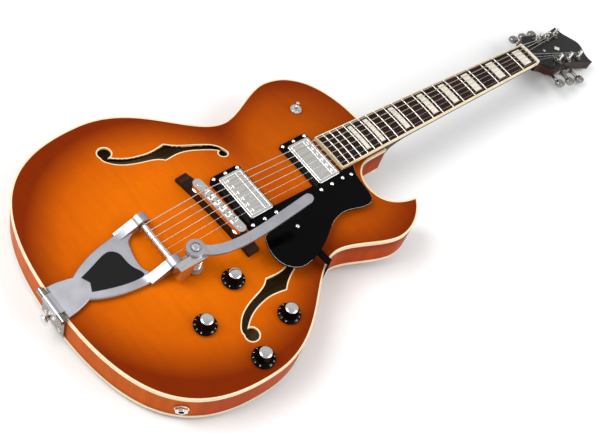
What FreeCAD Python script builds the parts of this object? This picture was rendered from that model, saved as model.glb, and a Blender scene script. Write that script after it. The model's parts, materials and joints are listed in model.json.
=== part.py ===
import FreeCAD, Part
import math
import os
from FreeCAD import Placement, Rotation
from FreeCAD import Vector as V

# An archtop electric guitar with a single sharp cutaway and a rocking vibrato tailpiece.
# Lengths are millimetres and angles are degrees.
# The guitar is drawn in its body frame: x runs from tail to head with 0 at the scale end,
# y points to the bass side and z = 0 is the plane of the top edge. The last section lays the
# finished guitar on its back, on the crown of the back and the tuner housings.

# Scale, board and neck
SCALE = 628.65
FRET_COUNT = 20
NECK_ANGLE = 3.9
PLANE_HEIGHT = 28.9
NUT_WIDTH = 42.5
BOARD_END = 185.0
BOARD_END_WIDTH = 58.5
BOARD_THICK = 5.6
BOARD_RADIUS = 300.0
BOARD_CROWN = 0.9
BOARD_BINDING = 1.7
FRET_WIDTH = 2.5
FRET_HEIGHT = 1.1
TANG_WIDTH = 0.5
TANG_DEPTH = 1.7
SLOT_FIT = 0.03
OVER = 1.0
# Two heights closer than this are the same
NEAR = 1e-6
BLOCK_FRETS = (1, 3, 5, 7, 9, 12, 15, 17)
BLOCK_SHARE = 0.5
BLOCK_MARGIN = 6.5
INLAY_DEPTH = 1.2
DOT_FRETS = (3, 5, 7, 9, 12, 15, 17)
DOT_RADIUS = 1.0
NUT_THICK = 5.0
NUT_RISE = 2.2
NECK_DEPTH_NUT = 15.5
NECK_DEPTH_BODY = 19.0
HEEL_START = 328.0
HEEL_FOOT = 13.0
HEEL_DEPTH = 57.0
HEEL_STEPS = 12
HEEL_CAP = 2.5
TENON_LENGTH = 28.0
TENON_WIDTH = 28.0
TENON_HEIGHT = 28.0
TONGUE_INSET = 3.0
TONGUE_LAP = 4.0
TONGUE_DEPTH = 20.0
ROD_RADIUS = 2.5
ROD_START = 300.0
ROD_CHANNEL_DEPTH = 8.0
ROD_END = 9.0
ROD_POCKET = (26.0, 11.0, 9.4)
ROD_POCKET_X = 14.0
ROD_POCKET_CORNER = 3.0
# Truss rod nut: wall, length and how much of the bar stands past it
ROD_NUT = (1.2, 6.0, 0.3)
ROD_COVER_OUTLINE = ((1.0, 12.5), (16.0, 12.0), (34.0, 6.5), (50.0, 5.0))
ROD_COVER_TIP = 57.0
ROD_COVER_THICK = 1.8
ROD_COVER_SCREWS = ((6.0, 8.6), (6.0, -8.6), (51.0, 0.0))
# Pearl lozenge on the headstock: place along it, half length and half width
LOZENGE = (100.0, 9.0, 5.5)

# Headstock and tuners
HEAD_ANGLE = 14.0
HEAD_THICK = 14.0
HEAD_FACE_THICK = 1.6
# First point of the headstock's flank: distance from the nut and how much wider than it
HEAD_START = (9.0, 1.5)
HEAD_FLARE = (30.0, 36.5)
HEAD_WAIST = (78.0, 33.5)
HEAD_FLANK = (125.0, 37.5)
HEAD_CORNER = (163.0, 44.5)
HEAD_SHOULDER = (166.5, 25.0)
HEAD_HUMP = (176.0, 12.5)
HEAD_PEAK = 182.0
TUNER_PLACES = ((62.0, 24.5), (96.0, 26.0), (130.0, 27.5))
POST_RADIUS = 3.0
POST_RISE = 16.0
POST_ROUND = 0.8
POST_EYE_RADIUS = 0.95
POST_EYE_HEIGHT = 13.0
WINDING_TOP = 11.5
WORM_OFFSET = 8.3
WORM_DROP = 5.6
SHAFT_RADIUS = 2.5
RUN_FIT = 0.05
GEAR_RADIUS = 5.5
GEAR_THICK = 4.5
GEAR_FIT = 0.1
HOUSING_SIZE = (24.0, 16.5, 11.0)
HOUSING_CORNER = 4.0
HOUSING_ROUND = 2.0
HOUSING_END_WALL = 1.0
EAR_OFFSET = 3.4
EAR_RADIUS = 3.4
EAR_THICK = 1.6
BUSHING_RADIUS = 4.9
BUSHING_SHORT = 1.0
# Washer under the bushing's nut: radius and thickness
BUSHING_WASHER = (7.4, 0.9)
NUT_FLAT = 5.2
BUSHING_NUT_THICK = 2.5
SHAFT_END_GAP = 0.4
# Collar on the worm shaft: gap to the housing, thickness and how far it stands out
SHAFT_COLLAR = (0.3, 2.2, 1.5)
KNOB_REACH = 25.5
KNOB_SIZE = (19.0, 14.0, 8.0)
KNOB_SINK = 3.0
KNOB_END_FLAT = 0.5
KNOB_EDGE_SHARE = 0.36

# Body outline, half widths mirrored about the centre line
TAIL_X = -231.0
LOWER_X = -69.0
LOWER_BOUT = 411.0
WAIST_X = 101.8
WAIST = 237.0
UPPER_X = 192.6
UPPER_BOUT = 294.6
FRONT_X = 272.9
FRONT_HALF = 30.0
TAIL_SWELL = 165.6
LOWER_SWELL = (96.2, 86.2)
WAIST_SWELL = (49.0, 26.4)
UPPER_SWELL = (27.8, 59.2)
SHOULDER_SWELL = 55.0
HORN_TIP = (254.0, -111.5)
HORN_SWELL = 30.0
HORN_LEAN = (-8.0, -14.5)
CUT_DEEPEST = (206.0, -68.0)
CUT_HORN_SWELL = 27.0
CUT_HORN_TURN = 3.5
CUT_HEEL_START = 243.0
CUT_HEEL_SWELL = 23.0
# Joint of the treble rib and the cutaway rib, back from the tip of the horn, and the cutaway rib's margin
HORN_JOINT = (26.0, 7.0)
CUT_RIB_MARGIN = (12.0, 8.0)

# Body build
RIM_DEPTH = 48.0
RIB_THICK = 3.2
PLATE_THICK = 5.5
TOP_ARCH = 12.0
BACK_ARCH = 11.0
ARCH_MARGIN = 12.0
EDGE_FLAT = 8.0
CUT_FADE = 42.0
ARCH_POWER = 1.6
BINDING_THICK = 2.2
LINING_WIDTH = 6.0
LINING_HEIGHT = 11.0
BLOCK_LENGTH = 52.0
BLOCK_HALF = 34.0
TAIL_BLOCK_LENGTH = 22.0
TAIL_BLOCK_HALF = 40.0
BAR_Y = 46.0
BAR_WIDTH = 8.0
BAR_HEIGHT = 11.0
BAR_START = -150.0
BAR_END = 180.0
SEAT_GAP = 0.1
GRID_STEP = 16.0
CUT_SAMPLES = 24
REDRAW_STEPS = 24
RING_STEPS = 12
BACK_STEPS = 100
TURN_SAMPLES = 24
SOLVE_STEPS = 50

# Sound holes: the outer and inner edge from the low lobe to the high one, each with the number of its
# pointed corner, and the two end lobes; sideways as shares of the half width of the lower bout
F_OUTER = ((-67.1, 0.7024), (-62.0, 0.6791), (-52.8, 0.6473), (-41.5, 0.6219), (-29.3, 0.6069),
           (-16.0, 0.5990), (-3.8, 0.6035), (8.2, 0.6142), (14.1, 0.5879), (25.2, 0.5533),
           (33.9, 0.5331), (44.3, 0.5088), (55.2, 0.4823), (62.9, 0.4575), (68.6, 0.4244),
           (71.5, 0.3820))
F_OUTER_CORNER = 7
F_INNER = ((-72.4, 0.7222), (-72.8, 0.6959), (-67.8, 0.6551), (-59.1, 0.6155), (-49.3, 0.5891),
           (-37.5, 0.5685), (-24.6, 0.5520), (-15.1, 0.5366), (-9.1, 0.5198), (-5.2, 0.5025),
           (2.4, 0.5065), (11.0, 0.5100), (22.3, 0.5055), (33.6, 0.4895), (44.7, 0.4649),
           (55.8, 0.4369), (63.0, 0.4118), (67.2, 0.3897))
F_INNER_CORNER = 9
F_LOW_LOBE = (-65.0, 0.7372)
F_LOW_RADIUS = 8.7
F_HIGH_LOBE = (66.5, 0.3674)
F_HIGH_RADIUS = 5.9
F_BINDING = 1.6

# Bridge
BRIDGE_X = -4.0
BRIDGE_SLANT = 4.3
BASE_LENGTH = 138.0
BASE_WIDTH = 17.0
BASE_TOP = 21.0
BASE_END_TOP = 14.0
BASE_FLAT = 86.0
POST_SPACING = 74.0
STUD_RADIUS = 2.4
STUD_SINK = 7.0
STUD_PROUD = 0.6
WHEEL_RADIUS = 7.5
WHEEL_THICK = 2.6
BRIDGE_LENGTH = 92.0
BRIDGE_WIDTH = 13.0
BRIDGE_HEIGHT = 8.0
BRIDGE_END_FLAT = 0.5
BRIDGE_LIP = 1.5
SADDLE_WIDTH = 7.0
SADDLE_FOOT = 6.4
SADDLE_STEP = 1.5
SADDLE_RIDGE = 1.2
SADDLE_NOTCH = 0.4
SADDLE_FIT = 0.1
SADDLE_SINK = 3.0
SADDLE_TOP = 34.0
SADDLE_SHIFTS = (-1.5, -0.7, 0.3, -0.9, -0.1, 0.8)
# Saddle screws: shank radius, head radius, head height and height over the slot's floor
SADDLE_SCREW = (0.7, 1.5, 1.0, 0.9)

# Pickups
BRIDGE_PICKUP_X = 39.5
NECK_PICKUP_X = 156.5
RING_SIZE = (46.0, 88.0)
RING_CORNER = 4.0
RING_SCREW_INSET = 4.0
COVER_SIZE = (36.0, 69.0)
COVER_CORNER = 3.0
COVER_WALL = 0.8
COVER_FIT = 0.4
COVER_ROUND = 1.0
COVER_HEIGHT = 17.0
# Grooved panel on a pickup cover: inset from its edges, place of the dividing line, and the groove's
# width and depth
COVER_PANEL_INSET = 3.5
COVER_DIVIDER = 6.5
COVER_GROOVE = (0.8, 0.4)
CORE_GAP = 0.3
CORE_HEIGHT = 22.0
BRIDGE_RING_TOP = 19.5
BRIDGE_COVER_TOP = 26.5
NECK_RING_TOP = 12.0
NECK_COVER_TOP = 18.0
POLE_SPACING = 10.0
POLE_RADIUS = 2.3
POLE_PROUD = 0.7
POLE_SINK = 8.0
# Slot of a pole screw: width and depth
POLE_SLOT = (0.8, 0.5)
BRIDGE_POLE_X = -9.0
NECK_POLE_X = 10.0

# Pickguard
GUARD_DROP = 5.4
GUARD_THICK = 2.5
GUARD_CLEAR = 0.5
GUARD_STRING_SIDE = -30.5
GUARD_TIP_X = 206.0
GUARD_CURVE = ((196.5, -52.0), (194.0, -72.0), (189.0, -86.0), (172.0, -89.5), (150.0, -83.8),
               (130.0, -83.6), (112.0, -90.0), (94.0, -101.0), (74.0, -111.5), (50.0, -118.5),
               (30.0, -117.5), (15.5, -103.0), (13.5, -84.0), (21.6, -62.1))
GUARD_NECK_SCREW = (191.0, -41.0)
GUARD_ARM_SCREW = (69.0, -70.0)
GUARD_SPACER = 3.5
BRACKET_WIDTH = 9.0
BRACKET_THICK = 2.5
BRACKET_LEG = 22.0
BRACKET_RIM_X = 71.0
BRACKET_SCREW_INSET = 4.0

# Vibrato
AXLE_X = -95.0
AXLE_Z = 21.0
AXLE_RADIUS = 4.2
BEARING_INNER = 28.0
BEARING_WIDTH = 12.0
BEARING_WALL = 2.4
BARREL_RADIUS = 10.5
CAP_THICK = 2.0
FRAME_START = (-229.0, 1.6)
FRAME_SLOPE = 4.4
FRAME_THICK = 5.0
FRAME_BEVEL = 1.2
FRAME_OUTLINE = ((0.0, 23.0), (16.0, 21.3), (31.0, 17.0), (53.0, 28.0), (80.0, 35.0), (104.0, 37.8),
                 (128.0, 40.0))
FRAME_BAY = ((128.0, 28.0), (117.0, 26.5), (110.6, 21.2), (107.0, 12.0), (104.6, 2.0), (103.4, -8.0),
             (104.0, -18.0), (108.4, -25.5), (117.0, -28.0), (128.0, -28.0))
# Webs that carry the axle: start along the frame, and corners about the axle
FRAME_WEB_START = 100.0
FRAME_WEB = ((-9.0, 5.5), (0.0, 5.0), (0.0, -5.0), (-6.0, -8.0))
PANEL_THICK = 0.8
PANEL_SINK = 0.5
PANEL_OUTLINE = ((38.3, 11.0), (52.2, 15.0), (64.2, 18.9), (74.9, 22.0), (83.6, 21.9), (88.8, 17.8),
                 (91.9, 12.1), (92.5, 5.1), (93.2, -3.3), (96.0, -12.6), (99.5, -20.0), (100.0, -25.0),
                 (92.3, -26.6), (81.1, -25.2), (64.8, -21.0), (49.5, -15.6), (38.3, -11.0))
PANEL_NOTCH = (43.2, 0.0)
HINGE_X = -236.5
HINGE_Z = 4.0
HINGE_RADIUS = 4.0
HINGE_PIN_RADIUS = 2.0
HINGE_FIT = 0.03
KNUCKLE_HALF = 14.0
KNUCKLE_LAP = 3.0
KNUCKLE_RISE = 0.6
LUG_END = 25.0
LUG_GAP = 0.4
LUG_NOTCH_Z = -0.5
TAIL_PLATE_THICK = 2.5
TAIL_PLATE_HALF = 22.0
TAIL_PLATE_DROP = 40.0
HINGE_SCREWS = ((14.0, -10.0), (-14.0, -10.0), (14.0, -33.0), (-14.0, -33.0))
AXLE_END_GAP = 0.5
BOSS_GAP = 3.0
BOSS_END = -55.0
BOSS_RADIUS = 9.5
ARM_BRACKET_TOP = 38.0
ARM_BRACKET_THICK = 5.0
ARM_BRACKET_FRONT = -64.0
ARM_BRACKET_DRAFT = 2.0
ARM_BRACKET_NECK = 3.0
ARM_PIVOT = (-70.5, -38.5)
PIVOT_PAD_RADIUS = 11.5
SPRING_PLACE = (-74.0, -48.5)
SPRING_RADIUS = 6.0
SPRING_WIRE = 1.1
SPRING_TURNS = 4
SPRING_SEAT_Z = 12.0
SPRING_SEAT_THICK = 3.0
SPRING_SEAT_RIM = 3.5
# The seat's link to the frame: its ends along the guitar about the spring, and its inset from the bearing
SPRING_LINK = (-9.0, 6.0)
SPRING_LINK_INSET = 2.0
SPRING_END_GAP = 0.3
ARM_THICK = 4.0
ARM_GAP = 0.4
ARM_WIDTH = 13.0
ARM_LINE = ((0.0, 0.0), (15.0, -13.5), (39.0, -21.8), (70.0, -24.8), (112.0, -24.2), (152.0, -22.5))
ARM_RISE = 7.0
PIN_RADIUS = 1.0
PIN_LENGTH = 4.0
# Turn of the axle left free between a pin and the end of its string
PIN_LEAD = 9.0
BOLT_RADIUS = 3.0
BOLT_HEAD = (5.8, 3.8)
# Sunk seat in the arm for the head of the bolt: radius and depth
BOLT_SEAT = (6.6, 1.8)
BOLT_DOME = ((0.95, 0.4), (0.7, 0.8))

# Controls
# Inner knobs: place along the body and share of the half width of the lower bout
INNER_KNOBS = {"bridge_volume_knob": (-42.5, 0.4076), "neck_volume_knob": (-106.0, 0.5512)}
# Outer knobs: place along the body and distance from the edge
OUTER_KNOBS = {"bridge_tone_knob": (-10.9, 36.3), "neck_tone_knob": (-73.0, 23.2)}
SKIRT_RADIUS = 14.5
SKIRT_EDGE = 1.2
SKIRT_STEP = (0.6, 1.0)
KNOB_BARREL = (10.6, 8.5)
SKIRT_HEIGHT = 3.5
KNOB_HEIGHT = 14.0
KNOB_ROUND = 0.8
KNOB_ROOF = 3.0
KNOB_HOLLOW = 1.5
KNOB_GAP = 1.0
BUSH_PROUD = 1.0
POT_RADIUS = 11.5
POT_HEIGHT = 9.0
POT_BUSH_RADIUS = 4.6
POT_SHAFT_RADIUS = 3.0
POT_FLOOR = 2.0
POT_NUT_RADIUS = 6.5
POT_NUT_THICK = 2.0
HOLE_FIT = 0.1
SWITCH_PLACE = (202.0, 86.0)
SWITCH_BODY = (16.0, 30.0, 24.0)
SWITCH_BUSH_RADIUS = 5.8
SWITCH_BALL = 3.2
SWITCH_BALL_DROP = 6.0
SWITCH_PIN_RADIUS = 0.8
# Mouth of the switch's bush: radius at the ball, radius at its top and height
SWITCH_MOUTH = (2.5, 4.9, 6.5)
SWITCH_ROOM = 12.0
SWITCH_NUT = (8.0, 3.0)
SWITCH_NUT_DROP = 0.5
# Lever: radius and height pairs from the ball's centre to the tip
LEVER_PROFILE = ((1.5, 0.0), (1.6, 9.0), (2.6, 16.0), (2.6, 17.8), (1.6, 19.0), (0.0, 19.0))
JACK_X = -178.0
JACK_DROP = 23.0
JACK_SEAT = 0.5
JACK_PROUD = 1.0
JACK_STRETCH = 80.0
JACK_BORE = 3.25
JACK_BARREL = 4.7
JACK_LENGTH = 20.0
JACK_FLANGE = 6.2
# Inner flange of the jack: its two faces behind the rib
JACK_FLANGE_PLACE = (0.6, 2.6)
JACK_NUT = (7.0, 3.0)
JACK_WASHER = (8.5, 1.0)
STRAP_DROP = 20.0
# Strap button: radius and height pairs, and the radius and length of its screw
STRAP_PROFILE = ((6.5, 0.0), (6.2, 1.5), (3.4, 4.0), (3.4, 9.0), (6.0, 11.0), (7.5, 12.0), (6.8, 13.4),
                 (0.0, 14.0))
STRAP_SCREW = (2.0, 13.5)

# Strings, from bass to treble
STRING_DIAMETERS = (1.25, 1.05, 0.85, 0.65, 0.45, 0.35)
NUT_SPREAD = 35.0
SADDLE_SPREAD = 52.0
STRING_NUT_HEIGHT = 1.6
STRING_FIT = 0.05
STRING_TURNS = 2
TURN_GAP = 0.5
SADDLE_BEND = 4.0
WRAP_START = 215.0

# Screws: head radius, head height, shank radius, shank length
WOOD_SCREW = (2.6, 1.5, 1.3, 8.0)
# Dome of a screw head as shares of its radius and height, and width, length and depth of its crossed slots
SCREW_DOME = ((0.95, 0.45), (0.6, 0.9))
SCREW_SLOT = (0.6, 3.2, 0.6)

HALF_LOWER = LOWER_BOUT / 2
HALF_WAIST = WAIST / 2
HALF_UPPER = UPPER_BOUT / 2
# Reach of a cutter that goes past everything
FAR = LOWER_BOUT
UP = V(0, 0, 1)
Y = V(0, 1, 0)
neck_place = Placement(V(0, 0, PLANE_HEIGHT), Rotation(V(0, 1, 0), NECK_ANGLE))
head_place = neck_place * Placement(V(SCALE + NUT_THICK, 0, -BOARD_THICK), Rotation(V(0, 1, 0), HEAD_ANGLE))
nodes = {}
axes = {}


# General helpers

def placed(shape, place):
    """A copy of a shape moved by a placement."""
    copy = shape.copy()
    copy.Placement = place * copy.Placement
    return copy


def box(x0, x1, y0, y1, z0, z1):
    return Part.makeBox(x1 - x0, y1 - y0, z1 - z0, V(x0, y0, z0))


def rod(start, end, radius):
    """A round bar between two points."""
    return Part.makeCylinder(radius, (end - start).Length, start, end - start)


def tube(start, end, outer, inner):
    return rod(start, end, outer).cut(rod(start, end, inner))


def polygon(points):
    return Part.Face(Part.makePolygon([V(*p) for p in points] + [V(*points[0])]))


def bezier(*poles):
    curve = Part.BezierCurve()
    curve.setPoles([V(p[0], p[1], 0) for p in poles])
    return curve


def spline(points):
    curve = Part.BSplineCurve()
    curve.interpolate([V(*p) for p in points])
    return curve.toShape()


def line(a, b):
    return Part.LineSegment(V(*a), V(*b)).toShape()


def prism(wire, z0, z1):
    face = Part.Face(wire)
    face.translate(V(0, 0, z0))
    return face.extrude(V(0, 0, z1 - z0))


def rounded_box(length, width, z0, z1, corner):
    """An upright box about the z axis with round corners."""
    solid = box(-length / 2, length / 2, -width / 2, width / 2, z0, z1)
    upright = [e for e in solid.Edges if abs(e.tangentAt(e.FirstParameter).z) > 0.9]
    return solid.makeFillet(corner, upright)


def revolved(profile, base=V(0, 0, 0), axis=UP):
    """A turned piece: profile is radius and height pairs about the z axis, then put on an axis."""
    face = polygon([(r, 0, h) for r, h in profile])
    solid = face.revolve(V(0, 0, 0), UP, 360)
    return placed(solid, Placement(base, Rotation(UP, axis)))


def rect(place, size, z0, z1):
    """An upright box centred on a place."""
    x, y = place
    half_long, half_wide = size[0] / 2, size[1] / 2
    return box(x - half_long, x + half_long, y - half_wide, y + half_wide, z0, z1)


def hexagon(flat, z0, z1, bore):
    corner = flat / math.cos(math.radians(30))
    points = []
    for i in range(6):
        angle = math.radians(60 * i)
        points.append((corner * math.cos(angle), corner * math.sin(angle), z0))
    return polygon(points).extrude(V(0, 0, z1 - z0)).cut(rod(V(0, 0, z0), V(0, 0, z1), bore))


def arc_from(start, tangent, end):
    """The arc that leaves start along tangent and reaches end."""
    chord = end - start
    side = chord - tangent * chord.dot(tangent)
    if side.Length < 1e-7:
        return Part.LineSegment(start, end).toShape()
    side.normalize()
    radius = chord.dot(chord) / (2 * chord.dot(side))
    centre = start + side * radius
    middle = (start + end) * 0.5 - centre
    middle.normalize()
    if chord.dot(tangent) < 0:
        middle = -middle
    return Part.Arc(start, centre + middle * radius, end).toShape()


def biarc(p0, t0, p1, t1):
    """Two tangent arcs between two points with given directions."""
    gap = p1 - p0
    both = t0 + t1
    spread = 2 * (1 - t0.dot(t1))
    reach = gap.dot(gap) / (2 * gap.dot(both))
    if spread > 1e-9:
        reach = (-gap.dot(both) + math.sqrt(gap.dot(both) ** 2 + spread * gap.dot(gap))) / spread
    joint = (p0 + t0 * reach + p1 - t1 * reach) * 0.5
    back = arc_from(p1, -t1, joint)
    return [arc_from(p0, t0, joint), Part.Edge(back.Curve, back.FirstParameter, back.LastParameter)]


def helix_point(turn, radius, pitch, start_angle, sense):
    """A point of a helix about the z axis and its direction there."""
    angle = start_angle + sense * 2 * math.pi * turn
    point = V(radius * math.cos(angle), radius * math.sin(angle), pitch * turn)
    run = V(-math.sin(angle), math.cos(angle), 0) * (sense * 2 * math.pi * radius) + V(0, 0, pitch)
    return point, run.normalize()


def helix_edges(turns, radius, pitch, start_angle, sense):
    """Quarter turns of a helix, each as two tangent arcs."""
    edges = []
    steps = int(round(4 * turns))
    for i in range(steps):
        p0, t0 = helix_point(i / 4, radius, pitch, start_angle, sense)
        p1, t1 = helix_point((i + 1) / 4, radius, pitch, start_angle, sense)
        edges += biarc(p0, t0, p1, t1)
    return edges


def least_turn_gap(wire, diameter, pitch_length):
    """The least distance between turns of one tube, measured on points along it."""
    points = wire.discretize(Distance=pitch_length / TURN_SAMPLES)
    apart = 3 * TURN_SAMPLES // 4
    least = min(a.distanceToPoint(b) for i, a in enumerate(points) for b in points[i + apart:])
    return least - diameter


def pipe(edges, diameter):
    """A round tube along joined edges."""
    wire = Part.Wire(edges)
    first = wire.OrderedEdges[0]
    start = wire.OrderedVertexes[0].Point
    at_start = first.valueAt(first.FirstParameter).distanceToPoint(start) < NEAR
    tangent = first.tangentAt(first.FirstParameter if at_start else first.LastParameter)
    ring = Part.Wire(Part.makeCircle(diameter / 2, start, tangent))
    return wire.makePipeShell([ring], True, True)


def wood_screw(at, axis=UP):
    """A cross-slot screw whose domed head sits at a point, with its shank going in against the axis."""
    head, height, shank, length = WOOD_SCREW
    dome = [(head * wide, height * high) for wide, high in SCREW_DOME]
    solid = revolved([(0, -length), (shank, -length), (shank, 0), (head, 0)] + dome + [(0, height)])
    width, reach, depth = SCREW_SLOT
    for size in ((width, reach), (reach, width)):
        solid = solid.cut(rect((0, 0), size, height - depth, 2 * height))
    return placed(solid, Placement(at, Rotation(UP, axis)))


def screw_hole(at, axis=UP):
    return rod(at, at - axis * WOOD_SCREW[3], WOOD_SCREW[2])


# Body outline

def half_outline(side):
    """Tail to upper bout on one side, as curves."""
    low, mid, high = HALF_LOWER * side, HALF_WAIST * side, HALF_UPPER * side
    return [bezier((TAIL_X, 0), (TAIL_X, TAIL_SWELL * side), (LOWER_X - LOWER_SWELL[0], low),
                   (LOWER_X, low)),
            bezier((LOWER_X, low), (LOWER_X + LOWER_SWELL[1], low), (WAIST_X - WAIST_SWELL[0], mid),
                   (WAIST_X, mid)),
            bezier((WAIST_X, mid), (WAIST_X + WAIST_SWELL[1], mid), (UPPER_X - UPPER_SWELL[0], high),
                   (UPPER_X, high))]


shoulder = bezier((UPPER_X, HALF_UPPER), (UPPER_X + UPPER_SWELL[1], HALF_UPPER),
                  (FRONT_X, FRONT_HALF + SHOULDER_SWELL), (FRONT_X, FRONT_HALF))
horn = bezier((UPPER_X, -HALF_UPPER), (UPPER_X + HORN_SWELL, -HALF_UPPER),
              (HORN_TIP[0] + HORN_LEAN[0], HORN_TIP[1] + HORN_LEAN[1]), HORN_TIP)
cut_near_horn = bezier(HORN_TIP, (HORN_TIP[0] - CUT_HORN_SWELL, HORN_TIP[1] + CUT_HORN_TURN),
                       (CUT_DEEPEST[0], CUT_DEEPEST[1] - CUT_HORN_SWELL), CUT_DEEPEST)
cut_near_heel = bezier(CUT_DEEPEST, (CUT_DEEPEST[0], CUT_DEEPEST[1] + CUT_HEEL_SWELL),
                       (CUT_HEEL_START - CUT_HEEL_SWELL, -FRONT_HALF), (CUT_HEEL_START, -FRONT_HALF))


def body_outline():
    edges = [c.toShape() for c in half_outline(1) + [shoulder] + half_outline(-1) + [horn]]
    edges += [cut_near_horn.toShape(), cut_near_heel.toShape()]
    edges.append(line((CUT_HEEL_START, -FRONT_HALF, 0), (FRONT_X, -FRONT_HALF, 0)))
    edges.append(line((FRONT_X, -FRONT_HALF, 0), (FRONT_X, FRONT_HALF, 0)))
    return Part.Wire(Part.__sortEdges__(edges))


outline = body_outline()


def redrawn(edge):
    """An edge redrawn as one smooth curve through points of it, or as a line if it is straight."""
    if edge.Curve.TypeId == "Part::GeomLine":
        return line(*[tuple(v.Point) for v in edge.Vertexes])
    curve = Part.BSplineCurve()
    first, last = edge.FirstParameter, edge.LastParameter
    start, end = edge.tangentAt(first), edge.tangentAt(last)
    points = [edge.valueAt(first + (last - first) * i / REDRAW_STEPS) for i in range(REDRAW_STEPS + 1)]
    curve.interpolate(Points=points, InitialTangent=start, FinalTangent=end)
    return curve.toShape()


def inset(distance):
    """The outline moved inwards."""
    moved = outline.makeOffset2D(-distance, 2, False, False, False)
    return Part.Wire(Part.__sortEdges__([redrawn(edge) for edge in moved.Edges]))


def curve_at_x(curve, x):
    """A point of an outline curve at a given x, with the outward normal there."""
    low, high = 0.0, 1.0
    for _ in range(SOLVE_STEPS):
        mid = (low + high) / 2
        if curve.value(mid).x < x:
            low = mid
        else:
            high = mid
    point = curve.value(low)
    run = curve.tangent(low)[0]
    normal = V(run.y, -run.x, 0)
    if normal.y * point.y < 0:
        normal = -normal
    return point, normal.normalize()


width_curves = half_outline(1) + [shoulder]


def half_width(x):
    """Half the width of the body without its cutaway."""
    if x <= TAIL_X or x >= FRONT_X:
        return 0.0
    for curve in width_curves:
        if x <= curve.value(1.0).x:
            return curve_at_x(curve, x)[0].y
    return 0.0


# Arched plates

def bell(share):
    """1 at the middle, 0 at the edge, level at both."""
    return 0.5 * (1 + math.cos(math.pi * min(1.0, abs(share))))


knob_places = {name: (x, -share * HALF_LOWER) for name, (x, share) in INNER_KNOBS.items()}
knob_places.update({name: (x, away - half_width(x)) for name, (x, away) in OUTER_KNOBS.items()})
cut_points = [c.value(i / CUT_SAMPLES) for c in (cut_near_horn, cut_near_heel)
              for i in range(CUT_SAMPLES + 1)]


def cut_share(x, y):
    """How far the arch has risen from the edge of the cutaway: 0 at the edge and 1 well inside."""
    near = min(math.hypot(p.x - x, p.y - y) for p in cut_points)
    return 1 - bell(max(0.0, near - EDGE_FLAT) / CUT_FADE)


def arch(x, y):
    """The share of the arch's rise at a place on a plate."""
    middle = (TAIL_X + FRONT_X) / 2
    reach = (FRONT_X - TAIL_X) / 2 - EDGE_FLAT
    side = half_width(x) - EDGE_FLAT
    if side <= abs(y):
        return 0.0
    return bell((abs(x - middle) / reach) ** ARCH_POWER) * bell(y / side) * cut_share(x, y)


def top_z(x, y):
    return TOP_ARCH * arch(x, y)


def top_slope_range(x, y, radius):
    """Lowest and highest height of the top round a place."""
    turns = [2 * math.pi * i / RING_STEPS for i in range(RING_STEPS)]
    ring = [top_z(x + radius * math.cos(a), y + radius * math.sin(a)) for a in turns] + [top_z(x, y)]
    return min(ring), max(ring)


def arch_face(rise, level):
    """The arched surface over the whole body, from its formula."""
    length = FRONT_X - TAIL_X + 2 * ARCH_MARGIN
    width = LOWER_BOUT + 2 * ARCH_MARGIN
    columns, rows = int(length / GRID_STEP), int(width / GRID_STEP)
    grid = []
    for i in range(columns + 1):
        x = TAIL_X - ARCH_MARGIN + length * i / columns
        row = []
        for j in range(rows + 1):
            y = width * (j / rows - 0.5)
            row.append(V(x, y, level + rise * arch(x, y)))
        grid.append(row)
    surface = Part.BSplineSurface()
    surface.interpolate(grid)
    return surface.toShape()


top_face = arch_face(TOP_ARCH, 0)
back_face = arch_face(-BACK_ARCH, -RIM_DEPTH)
under_top = top_face.extrude(V(0, 0, -4 * PLATE_THICK))
seat_cutter = under_top.copy()
seat_cutter.translate(V(0, 0, SEAT_GAP))


def seated(solid):
    """A piece trimmed to sit on the arched top."""
    return solid.cut(seat_cutter)


# Sound holes

def widened(points, by):
    """Points of a line, each moved sideways by a distance."""
    out = []
    for i, (x, y) in enumerate(points):
        before, after = points[max(i - 1, 0)], points[min(i + 1, len(points) - 1)]
        run = V(after[0] - before[0], after[1] - before[1], 0).normalize()
        out.append((x - run.y * by, y + run.x * by, 0))
    return out


def sound_hole(extra):
    """One sound hole as an upright cutter, widened all round by extra."""
    low, high = -3 * PLATE_THICK, 2 * TOP_ARCH
    edges, ends = [], []
    for points, corner, lean in ((F_OUTER, F_OUTER_CORNER, 1), (F_INNER, F_INNER_CORNER, -1)):
        edge = widened([(x, share * HALF_LOWER) for x, share in points], lean * extra)
        edges += [spline(edge[:corner + 1]), spline(edge[corner:])]
        ends.append((edge[0], edge[-1]))
    edges += [line(*pair) for pair in zip(*ends)]
    solids = [prism(Part.Wire(Part.__sortEdges__(edges)), low, high)]
    for (x, share), radius in ((F_LOW_LOBE, F_LOW_RADIUS), (F_HIGH_LOBE, F_HIGH_RADIUS)):
        solids.append(rod(V(x, share * HALF_LOWER, low), V(x, share * HALF_LOWER, high), radius + extra))
    return solids[0].multiFuse(solids[1:]).removeSplitter()


def both_sides(solid):
    """A solid and its mirror image on the other side of the centre line."""
    return [solid, solid.mirror(V(0, 0, 0), V(0, 1, 0))]


# Neck frame helpers

def neck_at(s, y, h):
    """A body point from a place along the neck: distance from the scale end, side and height."""
    return neck_place.multVec(V(s, y, h))


def head_at(s, y, h):
    return head_place.multVec(V(s, y, h))


def fret_at(number):
    return SCALE * 2 ** (-number / 12)


def board_width(s):
    return NUT_WIDTH + (BOARD_END_WIDTH - NUT_WIDTH) * (SCALE - s) / (SCALE - BOARD_END)


def board_prism(rim, low, high, end=0.0):
    """The tapered plan of the board, narrowed by rim on each side."""
    a, b = BOARD_END + end, SCALE
    points = [(a, board_width(a) / 2 - rim, low), (b, board_width(b) / 2 - rim, low),
              (b, rim - board_width(b) / 2, low), (a, rim - board_width(a) / 2, low)]
    return polygon(points).extrude(V(0, 0, high - low))


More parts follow.
